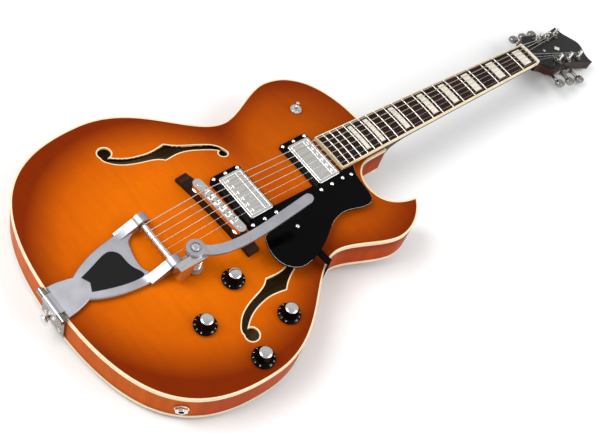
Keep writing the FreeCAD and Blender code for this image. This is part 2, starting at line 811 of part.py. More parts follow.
def board_round(low_s, high_s):
    """The round bar whose upper side is the played surface."""
    centre = BOARD_CROWN - BOARD_RADIUS
    return rod(V(low_s, 0, centre), V(high_s, 0, centre), BOARD_RADIUS)


def turned_over_board(profile, width):
    """A profile swept across the board along its round surface."""
    centre = V(0, 0, BOARD_CROWN - BOARD_RADIUS)
    half = math.degrees(width / 2 / BOARD_RADIUS)
    face = profile.copy()
    face.rotate(centre, V(1, 0, 0), -half)
    return face.revolve(centre, V(1, 0, 0), 2 * half)


# Fretboard, frets and inlays

def build_board():
    over = 4 * BOARD_CROWN
    crown = board_round(BOARD_END - OVER, SCALE + OVER)
    board = board_prism(BOARD_BINDING, -BOARD_THICK, over, BOARD_BINDING).common(crown)
    binding = board_prism(0, -BOARD_THICK, over).common(crown).cut(
        board_prism(BOARD_BINDING, -BOARD_THICK - OVER, over + OVER, BOARD_BINDING))
    frets, slots = [], []
    for number in range(1, FRET_COUNT + 1):
        s = fret_at(number)
        half, tang, top = FRET_WIDTH / 2, TANG_WIDTH / 2, BOARD_CROWN
        bow = Part.Arc(V(s - half, 0, top), V(s, 0, top + FRET_HEIGHT), V(s + half, 0, top)).toShape()
        foot = [V(s + half, 0, top), V(s + tang, 0, top), V(s + tang, 0, top - TANG_DEPTH),
                V(s - tang, 0, top - TANG_DEPTH), V(s - tang, 0, top), V(s - half, 0, top)]
        width = board_width(s) - 2 * BOARD_BINDING
        frets.append(turned_over_board(Part.Face(Part.Wire([bow] + Part.makePolygon(foot).Edges)), width))
        wide, deep = tang + SLOT_FIT, TANG_DEPTH + SLOT_FIT
        slot = polygon([(s - wide, 0, top - deep), (s + wide, 0, top - deep), (s + wide, 0, top + OVER),
                        (s - wide, 0, top + OVER)])
        slots.append(turned_over_board(slot, width + OVER))
    board = board.cut(Part.Compound(slots))
    blocks = []
    for number in BLOCK_FRETS:
        near, far = fret_at(number), fret_at(number - 1)
        middle, half = (near + far) / 2, (far - near) * BLOCK_SHARE / 2
        side = board_width(middle) / 2 - BLOCK_MARGIN
        pocket = box(middle - half, middle + half, -side, side, BOARD_CROWN - INLAY_DEPTH, over)
        blocks.append(pocket.common(board))
    board = board.cut(Part.Compound(blocks))
    dots = []
    for number in DOT_FRETS:
        middle = (fret_at(number) + fret_at(number - 1)) / 2
        side = board_width(middle) / 2
        low = -BOARD_THICK / 2
        plug = rod(V(middle, side - BOARD_BINDING / 2, low), V(middle, side + OVER, low), DOT_RADIUS)
        dots.append(plug.common(binding))
    binding = binding.cut(Part.Compound(dots))
    return board, binding, frets, blocks, dots


# Neck with heel, tongue, tenon and headstock

def neck_section(s, depth):
    """A round section of the neck: the middle of such a curve dips to three quarters of its poles' depth."""
    half, top = board_width(s) / 2, -BOARD_THICK
    low = top - depth * 4 / 3
    curve = Part.BezierCurve()
    curve.setPoles([V(s, half, top), V(s, half, low), V(s, -half, low), V(s, -half, top)])
    return Part.Wire([curve.toShape(), line((s, -half, top), (s, half, top))])


def shaft_depth(s):
    share = (SCALE - s) / (SCALE - FRONT_X)
    return NECK_DEPTH_NUT + (NECK_DEPTH_BODY - NECK_DEPTH_NUT) * share


def neck_loft():
    foot = FRONT_X + HEEL_FOOT
    sections = [neck_section(s, HEEL_DEPTH) for s in (FRONT_X - HEEL_FOOT, FRONT_X, foot)]
    for step in range(1, HEEL_STEPS + 1):
        turn = math.radians(90 * step / HEEL_STEPS)
        s = HEEL_START - (HEEL_START - foot) * math.cos(turn)
        swell = 1 - math.sin(turn)
        sections.append(neck_section(s, shaft_depth(s) + (HEEL_DEPTH - shaft_depth(s)) * swell))
    past = SCALE + 4 * NUT_THICK
    sections += [neck_section(SCALE, NECK_DEPTH_NUT), neck_section(past, NECK_DEPTH_NUT + NUT_THICK)]
    return placed(Part.makeLoft(sections, True, True), neck_place)


def head_outline():
    side = [HEAD_FLARE, HEAD_WAIST, HEAD_FLANK, HEAD_CORNER]
    crest = [HEAD_CORNER, HEAD_SHOULDER, HEAD_HUMP, (HEAD_PEAK, 0)]
    start = (0.0, NUT_WIDTH / 2)
    edges = []
    for lean in (1, -1):
        flank = [(start[0], start[1] * lean, 0), (HEAD_START[0], (start[1] + HEAD_START[1]) * lean, 0)]
        edges.append(spline(flank + [(x, y * lean, 0) for x, y in side]))
    whole = [(x, y, 0) for x, y in crest] + [(x, -y, 0) for x, y in crest[-2::-1]]
    edges.append(spline(whole))
    edges.append(line((start[0], start[1], 0), (start[0], -start[1], 0)))
    return Part.Wire(Part.__sortEdges__(edges))


def tuner_spots():
    """Post places on the headstock with the side that the knob points to, bass side first."""
    return [(x, y * lean, lean) for lean in (1, -1) for x, y in TUNER_PLACES]


def tenon(extra):
    half = TENON_WIDTH / 2 + extra
    low = -(RIM_DEPTH + TENON_HEIGHT) / 2 - extra
    return box(FRONT_X - TENON_LENGTH - extra, FRONT_X, -half, half, low, low + TENON_HEIGHT + 2 * extra)


def build_neck():
    loft = neck_loft()
    heel_low = -RIM_DEPTH + HEEL_CAP
    shaft = loft.common(box(FRONT_X, FAR + SCALE, -FAR, FAR, -FAR, FAR))
    shaft = shaft.cut(box(FRONT_X, HEEL_START, -FAR, FAR, -FAR, heel_low))
    cap = loft.common(box(FRONT_X, HEEL_START, -FAR, FAR, -RIM_DEPTH, heel_low))
    plan = head_outline()
    head = placed(prism(plan, -HEAD_THICK, 0), head_place)
    tongue_half = BOARD_END_WIDTH / 2 - TONGUE_INSET
    tongue = box(BOARD_END + TONGUE_INSET, FRONT_X + TONGUE_LAP, -tongue_half, tongue_half,
                 -BOARD_THICK - TONGUE_DEPTH, -BOARD_THICK)
    past_front = box(FRONT_X, FRONT_X + FAR, -FAR, FAR, -FAR, -PLATE_THICK)
    tongue = seated(placed(tongue, neck_place).cut(past_front))
    tongue = tongue.common(box(0, FRONT_X + TONGUE_LAP / 2, -FAR, FAR, SEAT_GAP, FAR))
    neck = shaft.multiFuse([head, tongue, tenon(0)])
    over_head = placed(box(0, FAR, -FAR, FAR, 0, FAR), head_place)
    channel_half = ROD_RADIUS + SEAT_GAP
    channel = box(ROD_START - OVER, SCALE + NUT_THICK + OVER, -channel_half, channel_half,
                  -BOARD_THICK - ROD_CHANNEL_DEPTH, -BOARD_THICK + SLOT_FIT)
    long, wide, deep = ROD_POCKET
    pocket = rounded_box(long, wide, -deep, HEAD_THICK, ROD_POCKET_CORNER)
    pocket = placed(pocket, head_place * Placement(V(ROD_POCKET_X, 0, 0), Rotation()))
    reach = 2 * HEAD_THICK
    holes = [rod(head_at(x, y, -reach), head_at(x, y, reach), BUSHING_RADIUS)
             for x, y, lean in tuner_spots()]
    neck = neck.cut(over_head).cut(Part.Compound([placed(channel, neck_place), pocket] + holes))
    face = placed(prism(plan, 0, HEAD_FACE_THICK), head_place).cut(Part.Compound([pocket] + holes))
    return neck, cap, face


board, board_binding, frets, blocks, dots = build_board()
neck, heel_cap, head_face = build_neck()


# Body shell

pickups = ((BRIDGE_PICKUP_X, BRIDGE_RING_TOP, BRIDGE_COVER_TOP, BRIDGE_POLE_X),
           (NECK_PICKUP_X, NECK_RING_TOP, NECK_COVER_TOP, NECK_POLE_X))


def ring_screw_spots():
    """Corner and height screws of the two pickup rings."""
    spots = []
    for x, ring_top, cover_top, pole_x in pickups:
        for along in (-1, 0, 1):
            for lean in (-1, 1):
                reach = (RING_SIZE[0] / 2 - RING_SCREW_INSET, RING_SIZE[1] / 2 - RING_SCREW_INSET)
                spots.append(V(x + along * reach[0], lean * reach[1], ring_top))
    return spots


def guard_z(x):
    """Underside of the pickguard, parallel to the neck."""
    return PLANE_HEIGHT - GUARD_DROP - GUARD_THICK - x * math.tan(math.radians(NECK_ANGLE))


board_up = neck_place.Rotation.multVec(UP)
guard_rise = GUARD_THICK / math.cos(math.radians(NECK_ANGLE)) + SLOT_FIT
guard_screws = [V(x, y, guard_z(x) + guard_rise) for x, y in (GUARD_NECK_SCREW, GUARD_ARM_SCREW)]
jack_point, jack_axis = curve_at_x(half_outline(-1)[0], JACK_X)
jack_point = jack_point - V(0, 0, JACK_DROP)


def build_body():
    rib_low, rib_top = SEAT_GAP - RIM_DEPTH + PLATE_THICK, -PLATE_THICK - SEAT_GAP
    tall = 3 * TOP_ARCH
    plate_plan = inset(BINDING_THICK)
    inner_plan = inset(RIB_THICK)
    top = top_face.extrude(V(0, 0, -PLATE_THICK)).common(prism(plate_plan, -tall, tall))
    back_plan = prism(plate_plan, -RIM_DEPTH - tall, tall - RIM_DEPTH)
    back = back_face.extrude(V(0, 0, PLATE_THICK)).common(back_plan)
    hole = sound_hole(F_BINDING)
    rings = hole.cut(sound_hole(0)).common(top)
    cutters = both_sides(hole)
    size = (COVER_SIZE[0] + 2 * COVER_FIT, COVER_SIZE[1] + 2 * COVER_FIT)
    deep = -4 * PLATE_THICK
    cutters += [rect((x, 0), size, deep, tall) for x, ring_top, cover_top, pole_x in pickups]
    for x, y in knob_places.values():
        cutters.append(rod(V(x, y, deep), V(x, y, tall), POT_BUSH_RADIUS + HOLE_FIT))
    cutters.append(rod(V(*SWITCH_PLACE, deep), V(*SWITCH_PLACE, tall), SWITCH_BUSH_RADIUS + HOLE_FIT))
    cutters += [screw_hole(spot) for spot in ring_screw_spots()]
    nodes["top_plate"] = [top.cut(Part.Compound(cutters))]
    nodes["back_plate"] = [back]
    edge = prism(outline, -PLATE_THICK, 0).cut(prism(plate_plan, -tall, tall))
    back_edge = edge.copy()
    back_edge.translate(V(0, 0, PLATE_THICK - RIM_DEPTH))
    nodes["body_bindings"] = [edge, back_edge] + both_sides(rings)
    hollow = prism(inner_plan, rib_low - OVER, rib_top + OVER)
    ring = prism(outline, rib_low, rib_top).cut(hollow).cut(tenon(SLOT_FIT))
    joint = (HORN_TIP[0] - HORN_JOINT[0], HORN_TIP[1] - HORN_JOINT[1])
    bay_start = CUT_DEEPEST[0] - CUT_RIB_MARGIN[0]
    bay = [HORN_TIP, joint, (bay_start, HORN_TIP[1] + CUT_RIB_MARGIN[1]), (bay_start, 0), (FRONT_X + FAR, 0),
           (FRONT_X + FAR, HORN_TIP[1])]
    bay = polygon([(x, y, -RIM_DEPTH) for x, y in bay]).extrude(V(0, 0, RIM_DEPTH))
    treble_half = box(TAIL_X - FAR, FRONT_X + FAR, -FAR, 0, -RIM_DEPTH, 0)
    jack_reach = jack_axis * JACK_LENGTH
    jack_hole = rod(jack_point + jack_reach, jack_point - jack_reach, JACK_BARREL + HOLE_FIT)
    stretch = rect((0, 0), (JACK_STRETCH, JACK_STRETCH), -RIM_DEPTH, RIM_DEPTH)
    stretch = placed(stretch, Placement(jack_point, Rotation(V(1, 0, 0), jack_axis)))
    treble = ring.common(treble_half).cut(bay).cut(jack_hole)
    nodes["bass_rib"] = [ring.cut(treble_half)]
    nodes["treble_rib"] = [treble.common(stretch), treble.cut(stretch)]
    nodes["cutaway_rib"] = [ring.common(bay)]
    cavity = prism(inner_plan, rib_low, rib_top)
    neck_zone = box(FRONT_X - BLOCK_LENGTH, FRONT_X, -BLOCK_HALF, BLOCK_HALF, rib_low, rib_top)
    tail_zone = box(TAIL_X, TAIL_X + TAIL_BLOCK_LENGTH, -TAIL_BLOCK_HALF, TAIL_BLOCK_HALF, rib_low, rib_top)
    nodes["end_blocks"] = [cavity.common(neck_zone).cut(tenon(SLOT_FIT)), cavity.common(tail_zone)]
    middle = prism(inset(RIB_THICK + LINING_WIDTH), rib_low - OVER, rib_top + OVER)
    strip = cavity.cut(middle).cut(neck_zone).cut(tail_zone)
    upper = box(TAIL_X, FRONT_X, -FAR, FAR, rib_top - LINING_HEIGHT, rib_top)
    lower = box(TAIL_X, FRONT_X, -FAR, FAR, rib_low, rib_low + LINING_HEIGHT)
    nodes["linings"] = [strip.common(upper), strip.common(lower)]
    ceiling = top_face.copy()
    ceiling.translate(V(0, 0, -PLATE_THICK - SEAT_GAP))
    below = ceiling.extrude(V(0, 0, -BAR_HEIGHT))
    bar = below.common(box(BAR_START, BAR_END, BAR_Y - BAR_WIDTH / 2, BAR_Y + BAR_WIDTH / 2, -FAR, FAR))
    nodes["tone_bars"] = both_sides(bar)


# Neck pieces

head_up = head_place.Rotation.multVec(UP)
ear_reach = HOUSING_SIZE[0] / 2 - WORM_OFFSET / 2 + EAR_OFFSET


def rod_cover_screws():
    return [head_at(x, y, HEAD_FACE_THICK + ROD_COVER_THICK) for x, y in ROD_COVER_SCREWS]


def tuner_screws():
    """The small screws that hold the tuner housings to the back of the headstock."""
    depth = -HEAD_THICK - SEAT_GAP - EAR_THICK
    return [head_at(x + ear_reach, y, depth) for x, y, lean in tuner_spots()]


def finish_neck():
    middle, half_long, half_wide = LOZENGE
    corners = [(middle - half_long, 0), (middle, half_wide), (middle + half_long, 0), (middle, -half_wide)]
    lozenge = polygon([(x, y, HEAD_FACE_THICK - INLAY_DEPTH) for x, y in corners])
    lozenge = lozenge.extrude(V(0, 0, INLAY_DEPTH))
    lozenge = placed(lozenge, head_place)
    face_screws = [screw_hole(p, head_up) for p in rod_cover_screws()]
    back_screws = [screw_hole(p, -head_up) for p in tuner_screws()]
    nodes["neck"] = [neck.cut(Part.Compound(face_screws + back_screws))]
    nodes["heel_cap"] = [heel_cap]
    nodes["headstock_face"] = [head_face.cut(Part.Compound(face_screws + [lozenge]))]
    nodes["fretboard"] = [placed(board, neck_place)]
    nodes["fretboard_binding"] = [placed(board_binding, neck_place)]
    nodes["frets"] = [placed(fret, neck_place) for fret in frets]
    nodes["pearl_inlays"] = [placed(block, neck_place) for block in blocks + dots] + [lozenge]
    points = [(x, y, 0) for x, y in ROD_COVER_OUTLINE] + [(ROD_COVER_TIP, 0, 0)]
    points += [(x, -y, 0) for x, y in ROD_COVER_OUTLINE[::-1]]
    plan = Part.Wire([spline(points), line(points[-1], points[0])])
    lid = placed(prism(plan, HEAD_FACE_THICK, HEAD_FACE_THICK + ROD_COVER_THICK), head_place)
    nodes["truss_rod_cover"] = [lid.cut(Part.Compound(face_screws))]
    low = -BOARD_THICK - ROD_CHANNEL_DEPTH + ROD_RADIUS + SEAT_GAP
    end = SCALE + NUT_THICK + ROD_END
    bar = rod(V(ROD_START, 0, low), V(end, 0, low), ROD_RADIUS)
    wall, length, proud = ROD_NUT
    nut = hexagon(ROD_RADIUS + wall, 0, length, ROD_RADIUS)
    nut = placed(nut, Placement(V(end - length - proud, 0, low), Rotation(UP, V(1, 0, 0))))
    nodes["truss_rod"] = [placed(bar, neck_place), placed(nut, neck_place)]


# Strings, nut and bridge

bridge_place = Placement(V(BRIDGE_X, 0, 0), Rotation(UP, BRIDGE_SLANT))


def string_side(index, spread):
    """Sideways place of a string, bass side first."""
    return spread / 2 - spread * index / (len(STRING_DIAMETERS) - 1)


def crown_drop(y):
    return y * y / (2 * BOARD_RADIUS)


def saddle_ridge(index):
    """Top of a saddle in the body frame."""
    y = string_side(index, SADDLE_SPREAD)
    return bridge_place.multVec(V(SADDLE_SHIFTS[index], y, SADDLE_TOP - crown_drop(y)))


def run_points(index):
    """Centre of a string at the axle's tangent, at its saddle and at the nut, and the axle's angle."""
    diameter = STRING_DIAMETERS[index]
    saddle = saddle_ridge(index) + V(0, 0, diameter / 2 + STRING_FIT)
    reach = AXLE_RADIUS + STRING_FIT + diameter / 2
    away = saddle - V(AXLE_X, saddle.y, AXLE_Z)
    angle = math.atan2(away.z, away.x) + math.acos(reach / away.Length)
    leave = V(AXLE_X + reach * math.cos(angle), saddle.y, AXLE_Z + reach * math.sin(angle))
    y = string_side(index, NUT_SPREAD)
    height = BOARD_CROWN + STRING_NUT_HEIGHT + diameter / 2 - crown_drop(y)
    return leave, saddle, neck_at(SCALE + NUT_THICK / 2, y, height), angle


def rounded_corner(before, corner, after, radius):
    """Arc between two straight runs, with the points where it starts and ends."""
    back = (before - corner).normalize()
    ahead = (after - corner).normalize()
    half = math.acos(max(-1.0, min(1.0, back.dot(ahead)))) / 2
    cut = radius / math.tan(half)
    start, end = corner + back * cut, corner + ahead * cut
    return arc_from(start, -back, end), start, end


def post_winding(index, nut_point):
    """Where a string meets its post and its turns there, in the headstock's frame."""
    diameter = STRING_DIAMETERS[index]
    x, y, lean = string_post(index)
    radius = POST_RADIUS + STRING_FIT + diameter / 2
    pitch = diameter + TURN_GAP
    start_height = WINDING_TOP - STRING_TURNS * pitch
    local = head_place.inverse().multVec(nut_point)
    away = V(local.x - x, local.y - y, 0)
    angle = math.atan2(away.y, away.x) + lean * math.acos(radius / away.Length)
    centre = V(x, y, start_height)
    touch = centre + V(radius * math.cos(angle), radius * math.sin(angle), 0)
    turns = Placement(centre, Rotation())
    return local, touch, radius, pitch, angle, lean, turns


def string_post(index):
    """The post of a string: bass strings from the nut outwards, treble strings likewise."""
    half = len(STRING_DIAMETERS) // 2
    spots = tuner_spots()
    return spots[index] if index < half else spots[2 * half + half - 1 - index]


def straight_edges(index):
    """The string from its pin over the axle and the saddle to the nut, with its corners rounded."""
    leave, saddle, nut_point, angle = run_points(index)
    diameter = STRING_DIAMETERS[index]
    reach = AXLE_RADIUS + STRING_FIT + diameter / 2
    centre = V(AXLE_X, saddle.y, AXLE_Z)
    first = math.radians(WRAP_START)
    turns = (first, (first + angle) / 2, angle)
    wrap = [centre + V(reach * math.cos(a), 0, reach * math.sin(a)) for a in turns]
    local, touch, *rest = post_winding(index, nut_point)
    touch = head_place.multVec(touch)
    bend, bend_in, bend_out = rounded_corner(leave, saddle, nut_point, SADDLE_BEND)
    dip, dip_in, dip_out = rounded_corner(saddle, nut_point, touch, SADDLE_BEND)
    edges = [Part.Arc(*wrap).toShape(), Part.LineSegment(leave, bend_in).toShape(), bend,
             Part.LineSegment(bend_out, dip_in).toShape(), dip, Part.LineSegment(dip_out, touch).toShape()]
    return edges


def winding_edges(index):
    """The turns of a string on its post."""
    nut_point = run_points(index)[2]
    local, touch, radius, pitch, angle, lean, turns = post_winding(index, nut_point)
    run = (touch - local).normalize()
    edges = []
    p0, t0 = touch, run
    for step in range(1, 4 * STRING_TURNS + 1):
        p1, t1 = helix_point(step / 4, radius, pitch, angle, lean)
        p1 = turns.multVec(p1)
        edges += biarc(p0, t0, p1, t1)
        p0, t0 = p1, t1
    return [placed(edge, head_place) for edge in edges]


def build_strings():
    solids, runs = [], []
    for index, diameter in enumerate(STRING_DIAMETERS):
        straight, turns = straight_edges(index), winding_edges(index)
        solids.append(pipe(straight + turns, diameter))
        runs.append(pipe(straight, diameter + 2 * STRING_FIT))
        gap = least_turn_gap(Part.Wire(turns), diameter, 2 * math.pi * POST_RADIUS)
        print("string", index + 1, "least gap between turns", round(gap, 2))
    nodes["strings"] = solids
    top = BOARD_CROWN + NUT_RISE
    nut = box(SCALE, SCALE + NUT_THICK, -NUT_WIDTH / 2, NUT_WIDTH / 2, -BOARD_THICK, top)
    low = top - BOARD_RADIUS
    nut = nut.common(rod(V(SCALE - OVER, 0, low), V(SCALE + NUT_THICK + OVER, 0, low), BOARD_RADIUS))
    nodes["nut"] = [placed(nut, neck_place).cut(Part.Compound(runs))]
    return runs


def build_bridge(runs):
    half = BASE_LENGTH / 2
    profile = [(0, -half, 0), (0, half, 0), (0, half, BASE_END_TOP), (0, BASE_FLAT / 2, BASE_TOP),
               (0, -BASE_FLAT / 2, BASE_TOP), (0, -half, BASE_END_TOP)]
    base = polygon(profile).extrude(V(BASE_WIDTH, 0, 0))
    base.translate(V(-BASE_WIDTH / 2, 0, 0))
    body_low = BASE_TOP + WHEEL_THICK
    body_top = body_low + BRIDGE_HEIGHT
    body = rounded_box(BRIDGE_WIDTH, BRIDGE_LENGTH, body_low, body_top, BRIDGE_WIDTH / 2 - BRIDGE_END_FLAT)
    studs, wheels, saddles, screws = [], [], [], []
    for lean in (-1, 1):
        y = lean * POST_SPACING / 2
        studs.append(rod(V(0, y, BASE_TOP - STUD_SINK), V(0, y, body_top + STUD_PROUD), STUD_RADIUS))
        wheels.append(tube(V(0, y, BASE_TOP), V(0, y, body_low), WHEEL_RADIUS, STUD_RADIUS))
    screw_radius, head_radius, head_tall, screw_rise = SADDLE_SCREW
    floor = body_top - SADDLE_SINK
    front = BRIDGE_WIDTH / 2
    for index, shift in enumerate(SADDLE_SHIFTS):
        y = string_side(index, SADDLE_SPREAD)
        slot_size = (BRIDGE_WIDTH - 2 * BRIDGE_LIP, SADDLE_WIDTH + 2 * SADDLE_FIT)
        body = body.cut(rect((0, y), slot_size, floor, body_top + OVER))
        ridge = SADDLE_TOP - crown_drop(y) + SADDLE_NOTCH
        foot, crest, step = SADDLE_FOOT / 2, SADDLE_RIDGE / 2, floor + SADDLE_STEP
        shape = [(shift - foot, floor), (shift + foot, floor), (shift + foot, step), (shift + crest, ridge),
                 (shift - crest, ridge), (shift - foot, step)]
        saddle = polygon([(x, y - SADDLE_WIDTH / 2, z) for x, z in shape]).extrude(V(0, SADDLE_WIDTH, 0))
        axis_z = floor + screw_rise
        shank = rod(V(shift, y, axis_z), V(front, y, axis_z), screw_radius)
        head = rod(V(front, y, axis_z), V(front + head_tall, y, axis_z), head_radius)
        saddles.append(placed(saddle.cut(shank), bridge_place).cut(runs[index]))
        body = body.cut(shank)
        screws.append(placed(shank.fuse(head).removeSplitter(), bridge_place))
    base = base.cut(Part.Compound(studs))
    nodes["bridge_base"] = [seated(placed(base, bridge_place))]
    nodes["bridge_body"] = [placed(body.cut(Part.Compound(studs)), bridge_place)]
    nodes["bridge_posts"] = [placed(piece, bridge_place) for piece in studs + wheels]
    nodes["bridge_saddles"] = saddles
    return screws


# Pickups

def cover_groove(cover_top):
    """The lines of a panel on a pickup cover, as a cutter."""
    width, depth = COVER_GROOVE
    long, wide = [side - 2 * COVER_PANEL_INSET for side in COVER_SIZE]
    low, high = cover_top - depth, cover_top + OVER
    panel = rect((0, 0), (long - 2 * width, wide - 2 * width), low, high)
    divider = rect((COVER_DIVIDER, 0), (width, wide), low, high)
    return rect((0, 0), (long, wide), low, high).cut(panel.cut(divider))


def build_pickups():
    rings, covers, cores, poles = [], [], [], []
    hole_size = (COVER_SIZE[0] + 2 * COVER_FIT, COVER_SIZE[1] + 2 * COVER_FIT)
    for x, ring_top, cover_top, pole_x in pickups:
        place = Placement(V(x, 0, 0), Rotation())
        ring = placed(rounded_box(*RING_SIZE, 0, ring_top, RING_CORNER), place)
        ring = ring.cut(rect((x, 0), hole_size, -OVER, ring_top + OVER))
        rings.append(seated(ring))
        low = cover_top - COVER_HEIGHT
        can = rounded_box(*COVER_SIZE, low, cover_top, COVER_CORNER)
        can = can.makeFillet(COVER_ROUND, [e for e in can.Edges if e.CenterOfMass.z > cover_top - NEAR])
        inner = (COVER_SIZE[0] - 2 * COVER_WALL, COVER_SIZE[1] - 2 * COVER_WALL)
        can = can.cut(rounded_box(*inner, low - OVER, cover_top - COVER_WALL, COVER_CORNER - COVER_WALL))
        can = can.cut(cover_groove(cover_top))
        core_size = (inner[0] - 2 * CORE_GAP, inner[1] - 2 * CORE_GAP)
        core_top = cover_top - COVER_WALL - CORE_GAP
        core = rounded_box(*core_size, core_top - CORE_HEIGHT, core_top, COVER_CORNER - COVER_WALL)
        slot_width, slot_depth = POLE_SLOT
        for index in range(len(STRING_DIAMETERS)):
            y = string_side(index, POLE_SPACING * (len(STRING_DIAMETERS) - 1))
            top = cover_top + POLE_PROUD
            pole = rod(V(pole_x, y, core_top - POLE_SINK), V(pole_x, y, top), POLE_RADIUS)
            can, core = can.cut(pole), core.cut(pole)
            slot = rect((pole_x, y), (slot_width, 2 * POLE_RADIUS + OVER), top - slot_depth, top + OVER)
            poles.append(placed(pole.cut(slot), place))
        covers.append(placed(can, place))
        cores.append(placed(core, place))
    holes = Part.Compound([screw_hole(spot) for spot in ring_screw_spots()])
    nodes["pickup_rings"] = [ring.cut(holes) for ring in rings]
    nodes["pickup_covers"] = covers
    nodes["pickup_cores"] = cores
    return poles


# Pickguard and its bracket

def build_guard():
    half = RING_SIZE[0] / 2 + GUARD_CLEAR
    end = -RING_SIZE[1] / 2 - GUARD_CLEAR
    bridge_edge = BRIDGE_PICKUP_X + half
    neck_near, neck_far = NECK_PICKUP_X - half, NECK_PICKUP_X + half
    side = GUARD_STRING_SIDE
    corner = (GUARD_TIP_X, side, 0)
    inside = [(bridge_edge, end, 0), (bridge_edge, side, 0), (neck_near, side, 0), (neck_near, end, 0),
              (neck_far, end, 0), (neck_far, side, 0), corner]
    curve = [corner] + [(x, y, 0) for x, y in GUARD_CURVE]
    edges = [line(a, b) for a, b in zip(inside, inside[1:])]
    edges += [spline(curve), line(curve[-1], inside[0])]
    plan = Part.Wire(edges)
    low = guard_z(0)
    plate = placed(prism(plan, 0, GUARD_THICK), Placement(V(0, 0, low), Rotation(V(0, 1, 0), NECK_ANGLE)))
    holes = Part.Compound([screw_hole(spot, board_up) for spot in guard_screws])
    nodes["pickguard"] = [plate.cut(holes)]
    rim, normal = curve_at_x(half_outline(-1)[1], BRACKET_RIM_X)
    along = V(-normal.y, normal.x, 0)
    start = V(*GUARD_ARM_SCREW, 0)
    bar_top = guard_z(max(rim.x, start.x) + BRACKET_WIDTH) - SEAT_GAP
    elbow = rim + normal * (BRACKET_THICK / 2 + SEAT_GAP)
    run = (elbow - start).normalize()
    side = V(-run.y, run.x, 0) * (BRACKET_WIDTH / 2)
    tail = start - run * (BRACKET_WIDTH / 2)
    bar = polygon([tuple(p) for p in (tail + side, tail - side, elbow - side, elbow + side)])
    bar.translate(V(0, 0, bar_top - BRACKET_THICK))
    bar = bar.extrude(V(0, 0, BRACKET_THICK))
    leg = rect((0, 0), (BRACKET_WIDTH, BRACKET_THICK), -BRACKET_LEG, bar_top)
    leg = placed(leg, Placement(elbow, Rotation(V(0, 1, 0), normal)))
    outside = prism(outline, -RIM_DEPTH, bar_top - BRACKET_THICK)
    spacer_top = guard_z(GUARD_NECK_SCREW[0] + GUARD_SPACER) - SLOT_FIT
    spacer = tube(V(*GUARD_NECK_SCREW, 0), V(*GUARD_NECK_SCREW, spacer_top), GUARD_SPACER, WOOD_SCREW[2])
    drops = (PLATE_THICK + BRACKET_SCREW_INSET, BRACKET_LEG - BRACKET_SCREW_INSET)
    spots = [elbow + normal * (BRACKET_THICK / 2) - V(0, 0, drop) for drop in drops]
    side_holes = Part.Compound([screw_hole(spot, normal) for spot in spots])
    arm = bar.fuse(leg).removeSplitter().cut(outside).cut(holes).cut(side_holes)
    nodes["pickguard_bracket"] = [arm, seated(spacer).cut(holes)]
    for name in ("treble_rib", "linings"):
        nodes[name] = [piece.cut(side_holes) for piece in nodes[name]]
    screws = [wood_screw(spot, board_up) for spot in guard_screws]
    return screws + [wood_screw(spot, normal) for spot in spots]


# Vibrato tailpiece

frame_place = Placement(V(FRAME_START[0], 0, FRAME_START[1]), Rotation(V(0, 1, 0), -FRAME_SLOPE))
axle_point = V(AXLE_X, 0, AXLE_Z)
bearing_outer = AXLE_RADIUS + RUN_FIT + BEARING_WALL
barrel_end = BEARING_INNER + BEARING_WIDTH
boss_start = -barrel_end - BOSS_GAP


def mirrored_plan(half):
    """A closed plan from curves given on the bass side of the centre line."""
    edges = []
    for lean in (1, -1):
        for points in half:
            flipped = [(u, v * lean, 0) for u, v in points]
            edges.append(spline(flipped) if len(flipped) > 2 else line(*flipped))
    return edges


def hinge_bore():
    """The hole for the hinge pin."""
    reach = LUG_END + OVER
    return rod(V(HINGE_X, -reach, HINGE_Z), V(HINGE_X, reach, HINGE_Z), HINGE_PIN_RADIUS + HINGE_FIT)


